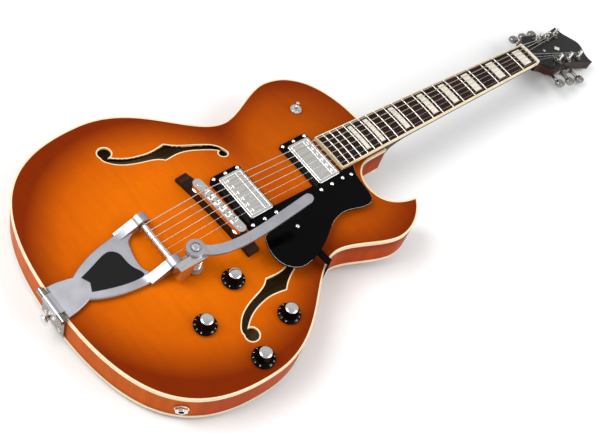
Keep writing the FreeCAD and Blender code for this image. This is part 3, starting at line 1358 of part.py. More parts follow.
def build_frame():
    sides, lobes, bay = FRAME_OUTLINE[:3], FRAME_OUTLINE[2:], FRAME_BAY
    edges = mirrored_plan([sides, lobes, (FRAME_OUTLINE[-1], bay[0])])
    edges.append(spline([(u, v, 0) for u, v in bay]))
    edges.append(line((sides[0][0], sides[0][1], 0), (sides[0][0], -sides[0][1], 0)))
    plate = prism(Part.Wire(Part.__sortEdges__(edges)), 0, FRAME_THICK)
    rims = [e for e in plate.Edges if abs(e.CenterOfMass.z - FRAME_THICK) < NEAR
            and e.CenterOfMass.x < bay[1][0]]
    plate = plate.makeChamfer(FRAME_BEVEL, rims)
    shield = [(u, v, 0) for u, v in PANEL_OUTLINE]
    corner = (*PANEL_NOTCH, 0)
    panel_plan = Part.Wire([spline(shield), line(shield[-1], corner), line(corner, shield[0])])
    pocket = prism(panel_plan, FRAME_THICK - PANEL_SINK, FRAME_THICK + OVER)
    panel = prism(panel_plan, FRAME_THICK - PANEL_SINK, FRAME_THICK - PANEL_SINK + PANEL_THICK)
    plate = placed(plate.cut(pocket), frame_place)
    foot = frame_place.multVec(V(FRAME_WEB_START, 0, 0))
    web = [(foot.x, foot.z), (foot.x, foot.z + FRAME_THICK)]
    web += [(AXLE_X + u, AXLE_Z + w) for u, w in FRAME_WEB]
    solids = []
    for lean in (1, -1):
        inner, outer = lean * BEARING_INNER, lean * barrel_end
        side = polygon([(x, min(inner, outer), z) for x, z in web]).extrude(V(0, BEARING_WIDTH, 0))
        solids += [side, rod(axle_point + Y * inner, axle_point + Y * outer, BARREL_RADIUS)]
    knuckle = rod(V(HINGE_X, -KNUCKLE_HALF, HINGE_Z), V(HINGE_X, KNUCKLE_HALF, HINGE_Z), HINGE_RADIUS)
    neck_of_knuckle = box(HINGE_X, FRAME_START[0] + KNUCKLE_LAP, -KNUCKLE_HALF, KNUCKLE_HALF,
                          FRAME_START[1] + KNUCKLE_RISE, FRAME_START[1] + FRAME_THICK)
    seat_x, seat_y = SPRING_PLACE
    reach = SPRING_RADIUS + SPRING_SEAT_RIM
    seat_low, seat_top = SPRING_SEAT_Z, SPRING_SEAT_Z + SPRING_SEAT_THICK
    seat = rod(V(seat_x, seat_y, seat_low), V(seat_x, seat_y, seat_top), reach)
    link_start, link_end = seat_x + SPRING_LINK[0], seat_x + SPRING_LINK[1]
    link_side = -BEARING_INNER - SPRING_LINK_INSET
    stalk = box(AXLE_X, link_end, -barrel_end, link_side, seat_low, seat_top)
    link = box(link_start, link_end, seat_y, link_side, seat_low, seat_top)
    frame = plate.multiFuse(solids + [knuckle, neck_of_knuckle, seat, stalk, link])
    start, end = axle_point + Y * (barrel_end - CAP_THICK), axle_point - Y * (barrel_end + OVER)
    bores = Part.Compound([rod(start, end, bearing_outer), hinge_bore()])
    nodes["vibrato_frame"] = [frame.cut(bores).removeSplitter()]
    nodes["vibrato_panel"] = [placed(panel, frame_place)]
    nodes["vibrato_bearings"] = [
        tube(axle_point + Y * lean * BEARING_INNER, axle_point + Y * lean * (barrel_end - CAP_THICK),
             bearing_outer, AXLE_RADIUS + RUN_FIT) for lean in (1, -1)]


def build_hinge():
    plate_x = TAIL_X - TAIL_PLATE_THICK
    plate = box(plate_x, TAIL_X, -TAIL_PLATE_HALF, TAIL_PLATE_HALF, -TAIL_PLATE_DROP, HINGE_Z)
    notch_half = KNUCKLE_HALF + LUG_GAP
    notch = box(plate_x - OVER, TAIL_X + OVER, -notch_half, notch_half, LUG_NOTCH_Z, HINGE_Z + OVER)
    lugs = []
    for lean in (1, -1):
        near, far = lean * notch_half, lean * LUG_END
        lugs.append(rod(V(HINGE_X, near, HINGE_Z), V(HINGE_X, far, HINGE_Z), HINGE_RADIUS))
        lugs.append(box(HINGE_X, TAIL_X, min(near, far), max(near, far), 2 * LUG_NOTCH_Z, HINGE_Z))
    hinge = plate.cut(notch).multiFuse(lugs).removeSplitter().cut(hinge_bore())
    out = V(-1, 0, 0)
    spots = [V(plate_x, y, z) for y, z in HINGE_SCREWS]
    screw_radius, screw_length = STRAP_SCREW
    button = V(plate_x, 0, -STRAP_DROP)
    button_hole = rod(button, button - out * (screw_length + SEAT_GAP), screw_radius)
    cutter = Part.Compound([screw_hole(spot, out) for spot in spots] + [button_hole])
    pin = rod(V(HINGE_X, -LUG_END, HINGE_Z), V(HINGE_X, LUG_END, HINGE_Z), HINGE_PIN_RADIUS)
    nodes["tail_hinge"] = [hinge.cut(cutter), pin]
    for name in ("bass_rib", "treble_rib", "end_blocks"):
        nodes[name] = [piece.cut(cutter) for piece in nodes[name]]
    profile = [(0, -screw_length), (screw_radius, -screw_length), (screw_radius, 0)] + list(STRAP_PROFILE)
    nodes["strap_button"] = [revolved(profile, button, out)]
    return [wood_screw(spot, out) for spot in spots]


def build_rocker():
    axle_end = barrel_end - CAP_THICK - AXLE_END_GAP
    axle = rod(axle_point + Y * axle_end, axle_point + Y * BOSS_END, AXLE_RADIUS)
    pin_angle = math.radians(WRAP_START + PIN_LEAD) + math.asin(PIN_RADIUS / AXLE_RADIUS)
    out = V(math.cos(pin_angle), 0, math.sin(pin_angle))
    pins = []
    for index in range(len(STRING_DIAMETERS)):
        foot = V(AXLE_X, saddle_ridge(index).y, AXLE_Z) + out * (AXLE_RADIUS - OVER)
        pins.append(rod(foot, foot + out * (PIN_LENGTH + OVER), PIN_RADIUS))
    nodes["vibrato_axle"] = [axle.multiFuse(pins).removeSplitter()]
    low = ARM_BRACKET_TOP - ARM_BRACKET_THICK
    boss = rod(axle_point + Y * boss_start, axle_point + Y * BOSS_END, BOSS_RADIUS)
    behind, ahead = AXLE_X - BOSS_RADIUS, AXLE_X + BOSS_RADIUS
    profile = [(behind, AXLE_Z), (behind + ARM_BRACKET_DRAFT, ARM_BRACKET_TOP),
               (ARM_BRACKET_FRONT, ARM_BRACKET_TOP), (ARM_BRACKET_FRONT, low),
               (ahead + ARM_BRACKET_NECK, low), (ahead, AXLE_Z)]
    riser = polygon([(x, BOSS_END, z) for x, z in profile]).extrude(V(0, boss_start - BOSS_END, 0))
    pivot = V(*ARM_PIVOT, 0)
    pad = rod(pivot + UP * low, pivot + UP * ARM_BRACKET_TOP, PIVOT_PAD_RADIUS)
    shank = rod(pivot + UP * low, pivot + UP * (ARM_BRACKET_TOP + OVER), BOLT_RADIUS)
    shaft = rod(axle_point + Y * boss_start, axle_point + Y * BOSS_END, AXLE_RADIUS)
    bracket = boss.multiFuse([riser, pad]).cut(Part.Compound([shank, shaft])).removeSplitter()
    head_low = ARM_BRACKET_TOP + 2 * ARM_GAP + ARM_THICK - BOLT_SEAT[1]
    wide, tall = BOLT_HEAD
    dome = [(wide * share, head_low + tall * high) for share, high in BOLT_DOME]
    bolt = [(0, low), (BOLT_RADIUS, low), (BOLT_RADIUS, head_low), (wide, head_low)] + dome
    nodes["arm_bracket"] = [bracket, revolved(bolt + [(0, head_low + tall)], pivot)]


def build_arm():
    left, right = [], []
    half = ARM_WIDTH / 2
    for i, (x, y) in enumerate(ARM_LINE):
        before = ARM_LINE[max(i - 1, 0)]
        after = ARM_LINE[min(i + 1, len(ARM_LINE) - 1)]
        run = V(after[0] - before[0], after[1] - before[1], 0).normalize()
        left.append((x - run.y * half, y + run.x * half, 0))
        right.append((x + run.y * half, y - run.x * half, 0))
    tip = ARM_LINE[-1]
    run = V(tip[0] - ARM_LINE[-2][0], tip[1] - ARM_LINE[-2][1], 0).normalize()
    nose = V(*tip, 0) + run * half
    end = Part.Arc(V(*left[-1]), nose, V(*right[-1])).toShape()
    stem = Part.Wire([spline(left), end, spline(right[::-1]), line(right[0], left[0])])
    pad = rod(V(0, 0, -OVER), V(0, 0, FAR), PIVOT_PAD_RADIUS)
    plan = prism(stem, -OVER, FAR).fuse(pad).removeSplitter()
    rise = math.tan(math.radians(ARM_RISE))
    reach = tip[0] + ARM_WIDTH
    lift = (reach - PIVOT_PAD_RADIUS) * rise
    profile = [(-FAR, 0), (PIVOT_PAD_RADIUS, 0), (reach, lift), (reach, lift + ARM_THICK),
               (PIVOT_PAD_RADIUS, ARM_THICK), (-FAR, ARM_THICK)]
    sheet = polygon([(x, -FAR, z) for x, z in profile]).extrude(V(0, 2 * FAR, 0))
    over = V(0, 0, ARM_THICK + OVER)
    radius, depth = BOLT_SEAT
    bores = [rod(V(0, 0, -OVER), over, BOLT_RADIUS + RUN_FIT), rod(V(0, 0, ARM_THICK - depth), over, radius)]
    arm = plan.common(sheet).cut(Part.Compound(bores))
    nodes["vibrato_arm"] = [placed(arm, Placement(V(*ARM_PIVOT, ARM_BRACKET_TOP + ARM_GAP), Rotation()))]


def build_spring():
    bottom = SPRING_SEAT_Z + SPRING_SEAT_THICK
    top = ARM_BRACKET_TOP - ARM_BRACKET_THICK
    travel = top - bottom - 2 * SPRING_WIRE - 2 * SPRING_END_GAP
    pitch = travel / SPRING_TURNS
    edges = helix_edges(SPRING_TURNS, SPRING_RADIUS, pitch, 0, 1)
    gap = least_turn_gap(Part.Wire(edges), 2 * SPRING_WIRE, 2 * math.pi * SPRING_RADIUS)
    print("spring least gap between turns", round(gap, 2))
    at = V(*SPRING_PLACE, bottom + SPRING_END_GAP + SPRING_WIRE)
    nodes["vibrato_spring"] = [placed(pipe(edges, 2 * SPRING_WIRE), Placement(at, Rotation()))]


# Controls

def build_controls():
    pots, nuts = [], []
    for name, (x, y) in knob_places.items():
        low, high = top_slope_range(x, y, POT_RADIUS)
        ceiling = low - PLATE_THICK - SEAT_GAP
        nut_low = top_slope_range(x, y, POT_NUT_RADIUS)[1] + SEAT_GAP
        bush_top = nut_low + POT_NUT_THICK + BUSH_PROUD
        can = rod(V(x, y, ceiling - POT_HEIGHT), V(x, y, ceiling), POT_RADIUS)
        bush = rod(V(x, y, ceiling), V(x, y, bush_top), POT_BUSH_RADIUS)
        shaft_low = ceiling - POT_HEIGHT + POT_FLOOR
        bore = rod(V(x, y, shaft_low - RUN_FIT), V(x, y, bush_top), POT_SHAFT_RADIUS + RUN_FIT)
        pots.append(can.fuse(bush).cut(bore).removeSplitter())
        nut_top = nut_low + POT_NUT_THICK
        nuts.append(tube(V(x, y, nut_low), V(x, y, nut_top), POT_NUT_RADIUS, POT_BUSH_RADIUS))
        base = top_slope_range(x, y, SKIRT_RADIUS)[1] + KNOB_GAP
        wide, narrow = KNOB_BARREL
        inside = POT_NUT_RADIUS + KNOB_HOLLOW
        socket = bush_top + KNOB_GAP - base
        roof = KNOB_HEIGHT - KNOB_ROOF
        profile = [(inside, 0), (SKIRT_RADIUS, 0), (SKIRT_RADIUS, SKIRT_EDGE),
                   (wide + SKIRT_STEP[0], SKIRT_HEIGHT), (wide, SKIRT_HEIGHT + SKIRT_STEP[1]),
                   (narrow, KNOB_HEIGHT - KNOB_ROUND),
                   (narrow - KNOB_ROUND, KNOB_HEIGHT), (0, KNOB_HEIGHT), (0, roof), (POT_SHAFT_RADIUS, roof),
                   (POT_SHAFT_RADIUS, socket), (inside, socket)]
        knob = revolved(profile, V(x, y, base))
        shaft = rod(V(x, y, shaft_low), V(x, y, base + roof), POT_SHAFT_RADIUS)
        nodes[name] = [knob, shaft]
    nodes["inner_controls"] = pots
    nodes["panel_nuts"] = nuts


def build_switch():
    x, y = SWITCH_PLACE
    corner = math.hypot(SWITCH_BODY[0], SWITCH_BODY[1]) / 2
    ceiling = top_slope_range(x, y, corner)[0] - PLATE_THICK - SEAT_GAP
    nut_low = top_slope_range(x, y, SWITCH_NUT[0])[1] + SEAT_GAP
    bush_top = nut_low + SWITCH_NUT[1]
    ball_z = bush_top - SWITCH_BALL_DROP
    ball = V(x, y, ball_z)
    room_radius = SWITCH_BALL + RUN_FIT
    body = rect((x, y), SWITCH_BODY[:2], ceiling - SWITCH_BODY[2], ceiling)
    bush = rod(V(x, y, ceiling), V(x, y, bush_top), SWITCH_BUSH_RADIUS)
    narrow, wide, tall = SWITCH_MOUTH
    mouth = revolved([(0, 0), (narrow, 0), (wide, tall), (0, tall)], ball)
    room = [mouth, Part.makeSphere(room_radius, ball), rod(ball - UP * SWITCH_ROOM, ball, room_radius)]
    reach = Y * (room_radius + OVER)
    pin = rod(ball - reach, ball + reach, SWITCH_PIN_RADIUS)
    casing = body.fuse(bush).cut(Part.Compound(room)).fuse(pin).removeSplitter()
    nodes["inner_controls"].append(casing)
    nut_top = bush_top - SWITCH_NUT_DROP
    nodes["panel_nuts"].append(tube(V(x, y, nut_low), V(x, y, nut_top), SWITCH_NUT[0], SWITCH_BUSH_RADIUS))
    stick = revolved([(0, 0)] + list(LEVER_PROFILE), ball)
    eye = rod(ball - reach, ball + reach, SWITCH_PIN_RADIUS + RUN_FIT)
    lever = stick.fuse(Part.makeSphere(SWITCH_BALL, ball)).removeSplitter().cut(eye)
    nodes["switch_lever"] = [lever]
    return ball


def build_jack():
    axis, wall = jack_axis, jack_point
    face = wall + axis * JACK_SEAT
    washer_r, washer_t = JACK_WASHER
    nut_r, nut_t = JACK_NUT
    front = face + axis * (washer_t + nut_t + JACK_PROUD)
    barrel = tube(front, front - axis * JACK_LENGTH, JACK_BARREL, JACK_BORE)
    washer = tube(face, face + axis * washer_t, washer_r, JACK_BARREL)
    nut = hexagon(nut_r, washer_t, washer_t + nut_t, JACK_BARREL)
    nut = placed(nut, Placement(face, Rotation(UP, axis)))
    near, far = [wall - axis * (RIB_THICK + depth) for depth in JACK_FLANGE_PLACE]
    flange = tube(near, far, JACK_FLANGE, JACK_BARREL)
    nodes["output_jack"] = [barrel, washer, nut, flange]
    return front


# Tuners

def build_tuners():
    housings, bushings = [], []
    long, wide, tall = HOUSING_SIZE
    back = -HEAD_THICK - SEAT_GAP
    worm_z = back - WORM_DROP
    gear_low, gear_top = worm_z - GEAR_THICK / 2, worm_z + GEAR_THICK / 2
    for number, (x, y, lean) in enumerate(tuner_spots(), 1):
        place = head_place * Placement(V(x, y, 0), Rotation(UP, 90 - 90 * lean))
        worm_x = -WORM_OFFSET * lean
        case = rounded_box(long, wide, back - tall, back, HOUSING_CORNER)
        under = [e for e in case.Edges if e.CenterOfMass.z < back - tall + NEAR]
        case = case.makeFillet(HOUSING_ROUND, under)
        case.translate(V(worm_x / 2, 0, 0))
        ear_x = ear_reach * lean
        ear = rod(V(ear_x, 0, back - EAR_THICK), V(ear_x, 0, back), EAR_RADIUS)
        side = 2 * EAR_RADIUS
        strap = rect((ear_x - EAR_RADIUS * lean, 0), (side, side), back - EAR_THICK, back)
        end_wall = HOUSING_END_WALL - wide / 2
        room = [rod(V(0, 0, gear_low - RUN_FIT), V(0, 0, gear_top + RUN_FIT), GEAR_RADIUS + RUN_FIT),
                rod(V(0, 0, gear_low), V(0, 0, back + OVER), POST_RADIUS + RUN_FIT),
                rod(V(worm_x, end_wall, worm_z), V(worm_x, wide, worm_z), SHAFT_RADIUS + RUN_FIT),
                rod(V(ear_x, 0, back - EAR_THICK - OVER), V(ear_x, 0, back + OVER), WOOD_SCREW[2])]
        case = case.multiFuse([ear, strap]).cut(Part.Compound(room)).removeSplitter()
        housings.append(placed(case, place))
        washer_radius, washer_thick = BUSHING_WASHER
        nut_low = HEAD_FACE_THICK + washer_thick
        sleeve_low = BUSHING_SHORT - HEAD_THICK
        sleeve = rod(V(0, 0, sleeve_low), V(0, 0, HEAD_FACE_THICK), BUSHING_RADIUS - SLOT_FIT)
        washer = rod(V(0, 0, HEAD_FACE_THICK), V(0, 0, nut_low), washer_radius)
        hexnut = hexagon(NUT_FLAT, nut_low, nut_low + BUSHING_NUT_THICK, POST_RADIUS)
        inside = rod(V(0, 0, -HEAD_THICK), V(0, 0, POST_RISE), POST_RADIUS + RUN_FIT)
        bushing = sleeve.multiFuse([washer, hexnut]).cut(inside).removeSplitter()
        bushings.append(placed(bushing, place))
        disc = GEAR_RADIUS - GEAR_FIT
        post = revolved([(0, gear_low), (disc, gear_low), (disc, gear_top), (POST_RADIUS, gear_top),
                         (POST_RADIUS, POST_RISE - POST_ROUND), (POST_RADIUS - POST_ROUND, POST_RISE),
                         (0, POST_RISE)])
        eye = rod(V(-disc, 0, POST_EYE_HEIGHT), V(disc, 0, POST_EYE_HEIGHT), POST_EYE_RADIUS)
        nodes["tuner_post_%d" % number] = [placed(post.cut(eye), place)]
        shaft_start = end_wall + SHAFT_END_GAP
        button_start = KNOB_REACH - KNOB_SINK
        shaft = rod(V(worm_x, shaft_start, worm_z), V(worm_x, button_start + OVER, worm_z), SHAFT_RADIUS)
        gap, thick, stand = SHAFT_COLLAR
        collar_start = wide / 2 + gap
        collar_end = collar_start + thick
        collar = rod(V(worm_x, collar_start, worm_z), V(worm_x, collar_end, worm_z), SHAFT_RADIUS + stand)
        half = KNOB_SIZE[2] / 2
        button = rounded_box(KNOB_SIZE[0], KNOB_SIZE[1], -half, half, KNOB_SIZE[1] / 2 - KNOB_END_FLAT)
        flat = [e for e in button.Edges if abs(abs(e.CenterOfMass.z) - half) < NEAR]
        button = button.makeFillet(KNOB_SIZE[2] * KNOB_EDGE_SHARE, flat)
        button.translate(V(worm_x, button_start + KNOB_SIZE[1] / 2, worm_z))
        nodes["tuner_knob_%d" % number] = [placed(shaft.multiFuse([collar, button]).removeSplitter(), place)]
        axes["post_%d" % number] = (place.multVec(V(0, 0, 0)), head_up)
        axes["knob_%d" % number] = (place.multVec(V(worm_x, KNOB_REACH, worm_z)), place.Rotation.multVec(Y))
    nodes["tuner_housings"] = housings + bushings


build_body()
finish_neck()
small_screws = [wood_screw(spot) for spot in ring_screw_spots()]
small_screws += [wood_screw(spot, head_up) for spot in rod_cover_screws()]
small_screws += [wood_screw(spot, -head_up) for spot in tuner_screws()]
string_runs = build_strings()
small_screws += build_bridge(string_runs)
small_screws += build_pickups()
small_screws += build_guard()
build_frame()
small_screws += build_hinge()
build_rocker()
build_arm()
build_spring()
build_controls()
switch_pivot = build_switch()
jack_front = build_jack()
build_tuners()
nodes["small_screws"] = small_screws
axes["vibrato"] = (axle_point, Y)
axes["arm_swing"] = (V(*ARM_PIVOT, ARM_BRACKET_TOP + ARM_GAP), UP)
axes["spring_seat"] = (V(*SPRING_PLACE, SPRING_SEAT_Z + SPRING_SEAT_THICK), UP)
axes["switch"] = (switch_pivot, Y)
axes["jack"] = (jack_front, jack_axis)
axes["strap"] = (V(TAIL_X - TAIL_PLATE_THICK, 0, -STRAP_DROP), V(-1, 0, 0))
for name, (x, y) in knob_places.items():
    axes[name] = (V(x, y, top_slope_range(x, y, SKIRT_RADIUS)[1] + KNOB_GAP), UP)


# Laying the guitar on its back

def lowest_back(tilt):
    """Lowest height of the back's crown once the guitar is turned by tilt."""
    heights = []
    for i in range(BACK_STEPS + 1):
        x = TAIL_X + (FRONT_X - TAIL_X) * i / BACK_STEPS
        z = -RIM_DEPTH - BACK_ARCH * arch(x, 0)
        heights.append(z * math.cos(tilt) + x * math.sin(tilt))
    return min(heights)


def rest_tilt():
    """The turn that brings the tuner housings and the back's crown to one level."""
    x, y = TUNER_PLACES[-1]
    far = head_at(x + HOUSING_SIZE[0] / 2 - WORM_OFFSET / 2, y, -HEAD_THICK - SEAT_GAP - HOUSING_SIZE[2])
    tilt = 0.0
    for _ in range(SOLVE_STEPS):
        low = far.z * math.cos(tilt) + far.x * math.sin(tilt)
        tilt += (lowest_back(tilt) - low) / far.x
    return tilt


turn = Placement(V(0, 0, 0), Rotation(V(0, 1, 0), -math.degrees(rest_tilt())))
whole = [placed(solid, turn) for shapes in nodes.values() for shape in shapes for solid in shape.Solids]
extent = Part.Compound(whole).optimalBoundingBox(False, False)
lay = Placement(V(-extent.Center.x, -extent.Center.y, -extent.ZMin), Rotation()) * turn
print("lay", [round(v, 4) for v in lay.Base], "tilt", round(math.degrees(rest_tilt()), 4))
print("size", round(extent.XLength, 1), round(extent.YLength, 1), round(extent.ZLength, 1))

os.makedirs("parts", exist_ok=True)
for name, shapes in nodes.items():
    solids = [placed(solid, lay) for shape in shapes for solid in shape.Solids]
    shape = solids[0] if len(solids) == 1 else Part.Compound(solids)
    shape.exportStep("parts/%s.step" % name)
    print(name, len(solids), round(shape.Volume), "ok" if shape.isValid() else "NOT VALID")
for name, (point, direction) in axes.items():
    point, direction = lay.multVec(point), lay.Rotation.multVec(direction)
    print("axis", name, [round(v / 1000, 6) for v in point], [round(v, 6) for v in direction])
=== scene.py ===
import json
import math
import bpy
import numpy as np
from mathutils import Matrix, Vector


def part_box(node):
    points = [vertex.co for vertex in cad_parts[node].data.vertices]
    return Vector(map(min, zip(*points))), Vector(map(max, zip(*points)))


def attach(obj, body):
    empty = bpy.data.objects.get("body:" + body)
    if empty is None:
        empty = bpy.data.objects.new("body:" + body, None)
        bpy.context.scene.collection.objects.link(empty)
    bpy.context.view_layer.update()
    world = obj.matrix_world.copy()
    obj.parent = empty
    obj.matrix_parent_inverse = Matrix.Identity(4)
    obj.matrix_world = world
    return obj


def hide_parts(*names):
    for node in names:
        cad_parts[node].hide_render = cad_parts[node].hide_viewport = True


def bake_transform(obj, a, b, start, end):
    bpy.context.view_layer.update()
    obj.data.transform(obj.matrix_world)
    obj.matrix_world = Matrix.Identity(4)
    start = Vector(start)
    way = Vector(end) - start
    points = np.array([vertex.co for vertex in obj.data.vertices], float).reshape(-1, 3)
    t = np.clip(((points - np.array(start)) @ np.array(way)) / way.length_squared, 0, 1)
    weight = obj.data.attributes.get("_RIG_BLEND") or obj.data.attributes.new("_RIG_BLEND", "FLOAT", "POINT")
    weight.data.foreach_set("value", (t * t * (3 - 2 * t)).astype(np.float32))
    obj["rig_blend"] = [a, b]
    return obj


bl_info = {
    "name": "Archtop guitar looks",
    "version": (1, 0, 0),
    "blender": (4, 5, 0),
    "location": "View3D > Sidebar > Guitar",
    "description": "Dresses the archtop guitar in its lacquers, plastics and metals",
    "category": "Object",
}

import bmesh
import bpy
import numpy as np
from bpy.props import FloatProperty, FloatVectorProperty, IntProperty, PointerProperty
from mathutils import Matrix, Vector
from mathutils.bvhtree import BVHTree
from mathutils.kdtree import KDTree

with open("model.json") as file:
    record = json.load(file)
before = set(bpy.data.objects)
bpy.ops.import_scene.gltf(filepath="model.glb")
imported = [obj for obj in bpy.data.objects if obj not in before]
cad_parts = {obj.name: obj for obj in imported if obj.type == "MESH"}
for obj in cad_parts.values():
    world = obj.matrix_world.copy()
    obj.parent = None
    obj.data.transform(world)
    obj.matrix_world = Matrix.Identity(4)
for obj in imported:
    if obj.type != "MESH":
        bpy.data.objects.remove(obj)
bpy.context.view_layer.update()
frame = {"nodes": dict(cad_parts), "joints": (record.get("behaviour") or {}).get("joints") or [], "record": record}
record = frame["record"]
node_body = {node: body for body, nodes in record["behaviour"]["bodies"].items() for node in nodes}
joints = {joint["name"]: joint for joint in frame["joints"]}

# The guitar lies tilted on its back: this is the direction that its own top faces.
body_up = Vector(joints["arm_swing"]["axis"])
ACROSS = Vector((0, 1, 0))
MM = 0.001
FULL_TURN = 2 * math.pi

# Ovals of the lower and the upper bout that the burst follows: centre and half sizes in metres
BOUTS = (((-0.342, 0, 0), (0.190, 0.206, 1)), ((-0.103, 0, 0), (0.128, 0.158, 1)))
# Stretch along the body, from the waist to the neck, over which the stain deepens, and how far it goes
STAIN_FROM = -0.28
STAIN_TO = 0.0
STAIN_DEPTH = 0.85
# Stretch along the rim from the tail hinge to where its orange has gone, and the rim's height
RIM_FROM = -0.516
RIM_TO = -0.416
RIM_LOW = 0.004
RIM_HIGH = 0.064

# Arched plates: spacing of the points read from a plate, reach of a fit round a point, longest edge kept,
# fewest points for a fit, largest move, and how near a face lies to the plate's outside
SAMPLE_STEP = 5 * MM
FIT_REACH = 24 * MM
LONGEST_EDGE = 12 * MM
FEWEST_POINTS = 12
LARGEST_MOVE = 0.4 * MM
OUTER_SKIN = 0.3 * MM
# Least outward part of the direction of a face of the arch, and of a face that is lacquered
ARCH_FACING = 0.8
LACQUER_FACING = -0.3
# The bindings of the sound holes are shorter than this, and those of the body's edges are longer.
HOLE_BINDING_LENGTH = 0.25
# Least upward part of the direction of a binding's face that lies flush with the top
FLUSH_FACING = 0.7

# Strings: room beside the axle where they still turn with it, and the length over which the turn fades
HOOK_ROOM = 2 * MM
HOOK_FADE = 30 * MM
# Thumbwheels of the bridge: least width, count, radius and size of the knurl's bars
WHEEL_WIDTH = 10 * MM
KNURL_COUNT = 44
KNURL_RADIUS = 7.45 * MM
KNURL_BAR = (0.5 * MM, 0.5 * MM, 2.2 * MM)
# Pickguard: width of its slanting cut edge, least angle of that edge in radians, and the length and slant
# that tell the straight notches, which have no cut edge
GUARD_CUT = 0.6 * MM
GUARD_CORNER = 0.6
NOTCH_LENGTH = 4 * MM
NOTCH_SLANT = 0.02
# Spring: height at each end that moves with what it rests on
SPRING_END = 1 * MM

KNOBS = ("bridge_volume", "neck_volume", "bridge_tone", "neck_tone")
# Grip ribs of a knob: radius, height above its foot, size and tilt of a bar in degrees
RIB_RADIUS = 9.6 * MM
RIB_HEIGHT = 8.8 * MM
RIB_BAR = (0.7 * MM, 0.7 * MM, 8 * MM)
RIB_TILT = -13.6
# Outline of a knob's cap in millimetres: radius and height above the knob's foot
CAP_OUTLINE = ((0, 13.9), (7.8, 13.9), (7.8, 14.2), (7.4, 14.6), (6.0, 15.1), (4.0, 15.5), (2.0, 15.7),
               (0, 15.75))
# Dial figures 0 to 10: radius, height, lean, and the angles of the first and of each step, in degrees
FIGURE_COUNT = 11
FIGURE_RADIUS = 12.8 * MM
FIGURE_HEIGHT = 2.43 * MM
FIGURE_LEAN = 35
FIRST_FIGURE = -60
FIGURE_STEP = -30
FIGURE_DEPTH = 0.03 * MM
TUNERS = 6

# Stage: the floor's size, the lamps' names, places, sizes and watts, what they face, and the camera
FLOOR_SIZE = 8.0
LAMPS = (("key_light", (-1.6, 0.9, 2.2), 1.6, 47.0), ("fill_light", (0.8, -1.6, 1.8), 1.8, 26.0))
LAMP_TARGET = Vector((-0.1, 0, 0))
CAMERA_PLACE = (-0.88333307, -0.4545, 1.050397)
CAMERA_TURN = (36.26965, -15.18559, -40.57928)
CAMERA_LENS = 60
CAMERA_SENSOR = 36


def tint(code):
    """An sRGB hex colour as the linear colour that shaders take."""
    values = [int(code[i:i + 2], 16) / 255 for i in (1, 3, 5)]
    linear = [v / 12.92 if v <= 0.04045 else ((v + 0.055) / 1.055) ** 2.4 for v in values]
    return (*linear, 1.0)


def add(tree, kind, settings=None, **links):
    """Adds a node, sets its properties, and sets or links its inputs by name, or by number as i0, i1."""
    node = tree.nodes.new(kind)
    for name, value in (settings or {}).items():
        setattr(node, name, value)
    for name, value in links.items():
        key = int(name[1:]) if name[0] == "i" and name[1:].isdigit() else name.replace("_", " ")
        if isinstance(value, bpy.types.NodeSocket):
            tree.links.new(value, node.inputs[key])
        else:
            node.inputs[key].default_value = value
    return node


def ramp(tree, factor, *stops):
    """A colour ramp through position and colour pairs."""
    node = add(tree, "ShaderNodeValToRGB", None, Fac=factor)
    elements = node.color_ramp.elements
    while len(elements) < len(stops):
        elements.new(0.5)
    for element, (position, colour) in zip(elements, stops):
        element.position = position
        element.color = colour
    return node.outputs["Color"]


def grey(value):
    """A grey as a shader's colour, from its linear value."""
    return (value, value, value, 1.0)


def material(name, **values):
    """A new material, its node tree, its shader with those values, and the piece's own coordinates."""
    made = bpy.data.materials.new(name)
    made.use_nodes = True
    tree = made.node_tree
    shader = tree.nodes["Principled BSDF"]
    for key, value in values.items():
        shader.inputs[key.replace("_", " ")].default_value = value
    place = add(tree, "ShaderNodeTexCoord").outputs["Object"]
    return made, tree, shader, place


def vector_math(tree, operation, first, second):
    """The named operation on two vectors, one number at a time."""
    return add(tree, "ShaderNodeVectorMath", {"operation": operation}, i0=first, i1=second).outputs[0]


def stretched(tree, place, *per_metre):
    """Coordinates counted in pattern lengths: how many of them go to a metre along x, y and z."""
    return vector_math(tree, "MULTIPLY", place, per_metre)


def noise(tree, vector, detail=3.0, distortion=0.0):
    """A soft random pattern from 0 to 1, with spots about one pattern length across."""
    return add(tree, "ShaderNodeTexNoise", None, Vector=vector, Scale=1.0, Detail=detail,
               Roughness=0.55, Distortion=distortion).outputs["Fac"]


def mixed(tree, amount, first, second):
    """Two colours mixed, by the amount of the second."""
    return add(tree, "ShaderNodeMix", {"data_type": "RGBA"}, i0=amount, i6=first, i7=second).outputs[2]


def shaded(tree, colour, shade, amount):
    """The colour multiplied by a shade pattern, by that amount."""
    return add(tree, "ShaderNodeMix", {"data_type": "RGBA", "blend_type": "MULTIPLY"},
               i0=amount, i6=colour, i7=shade).outputs[2]


def raised(tree, shader, height, distance):
    """Raises the surface by a height pattern, by at most that distance in metres."""
    node = add(tree, "ShaderNodeBump", None, Height=height, Distance=distance, Strength=1.0)
    tree.links.new(node.outputs["Normal"], shader.inputs["Normal"])


def coloured(tree, shader, colour):
    """Gives the shader its colour from a pattern."""
    tree.links.new(colour, shader.inputs["Base Color"])


def roughened(tree, shader, pattern, low, high):
    """Roughness that follows a pattern between two values."""
    level = add(tree, "ShaderNodeMapRange", None, Value=pattern, To_Min=low, To_Max=high)
    tree.links.new(level.outputs["Result"], shader.inputs["Roughness"])


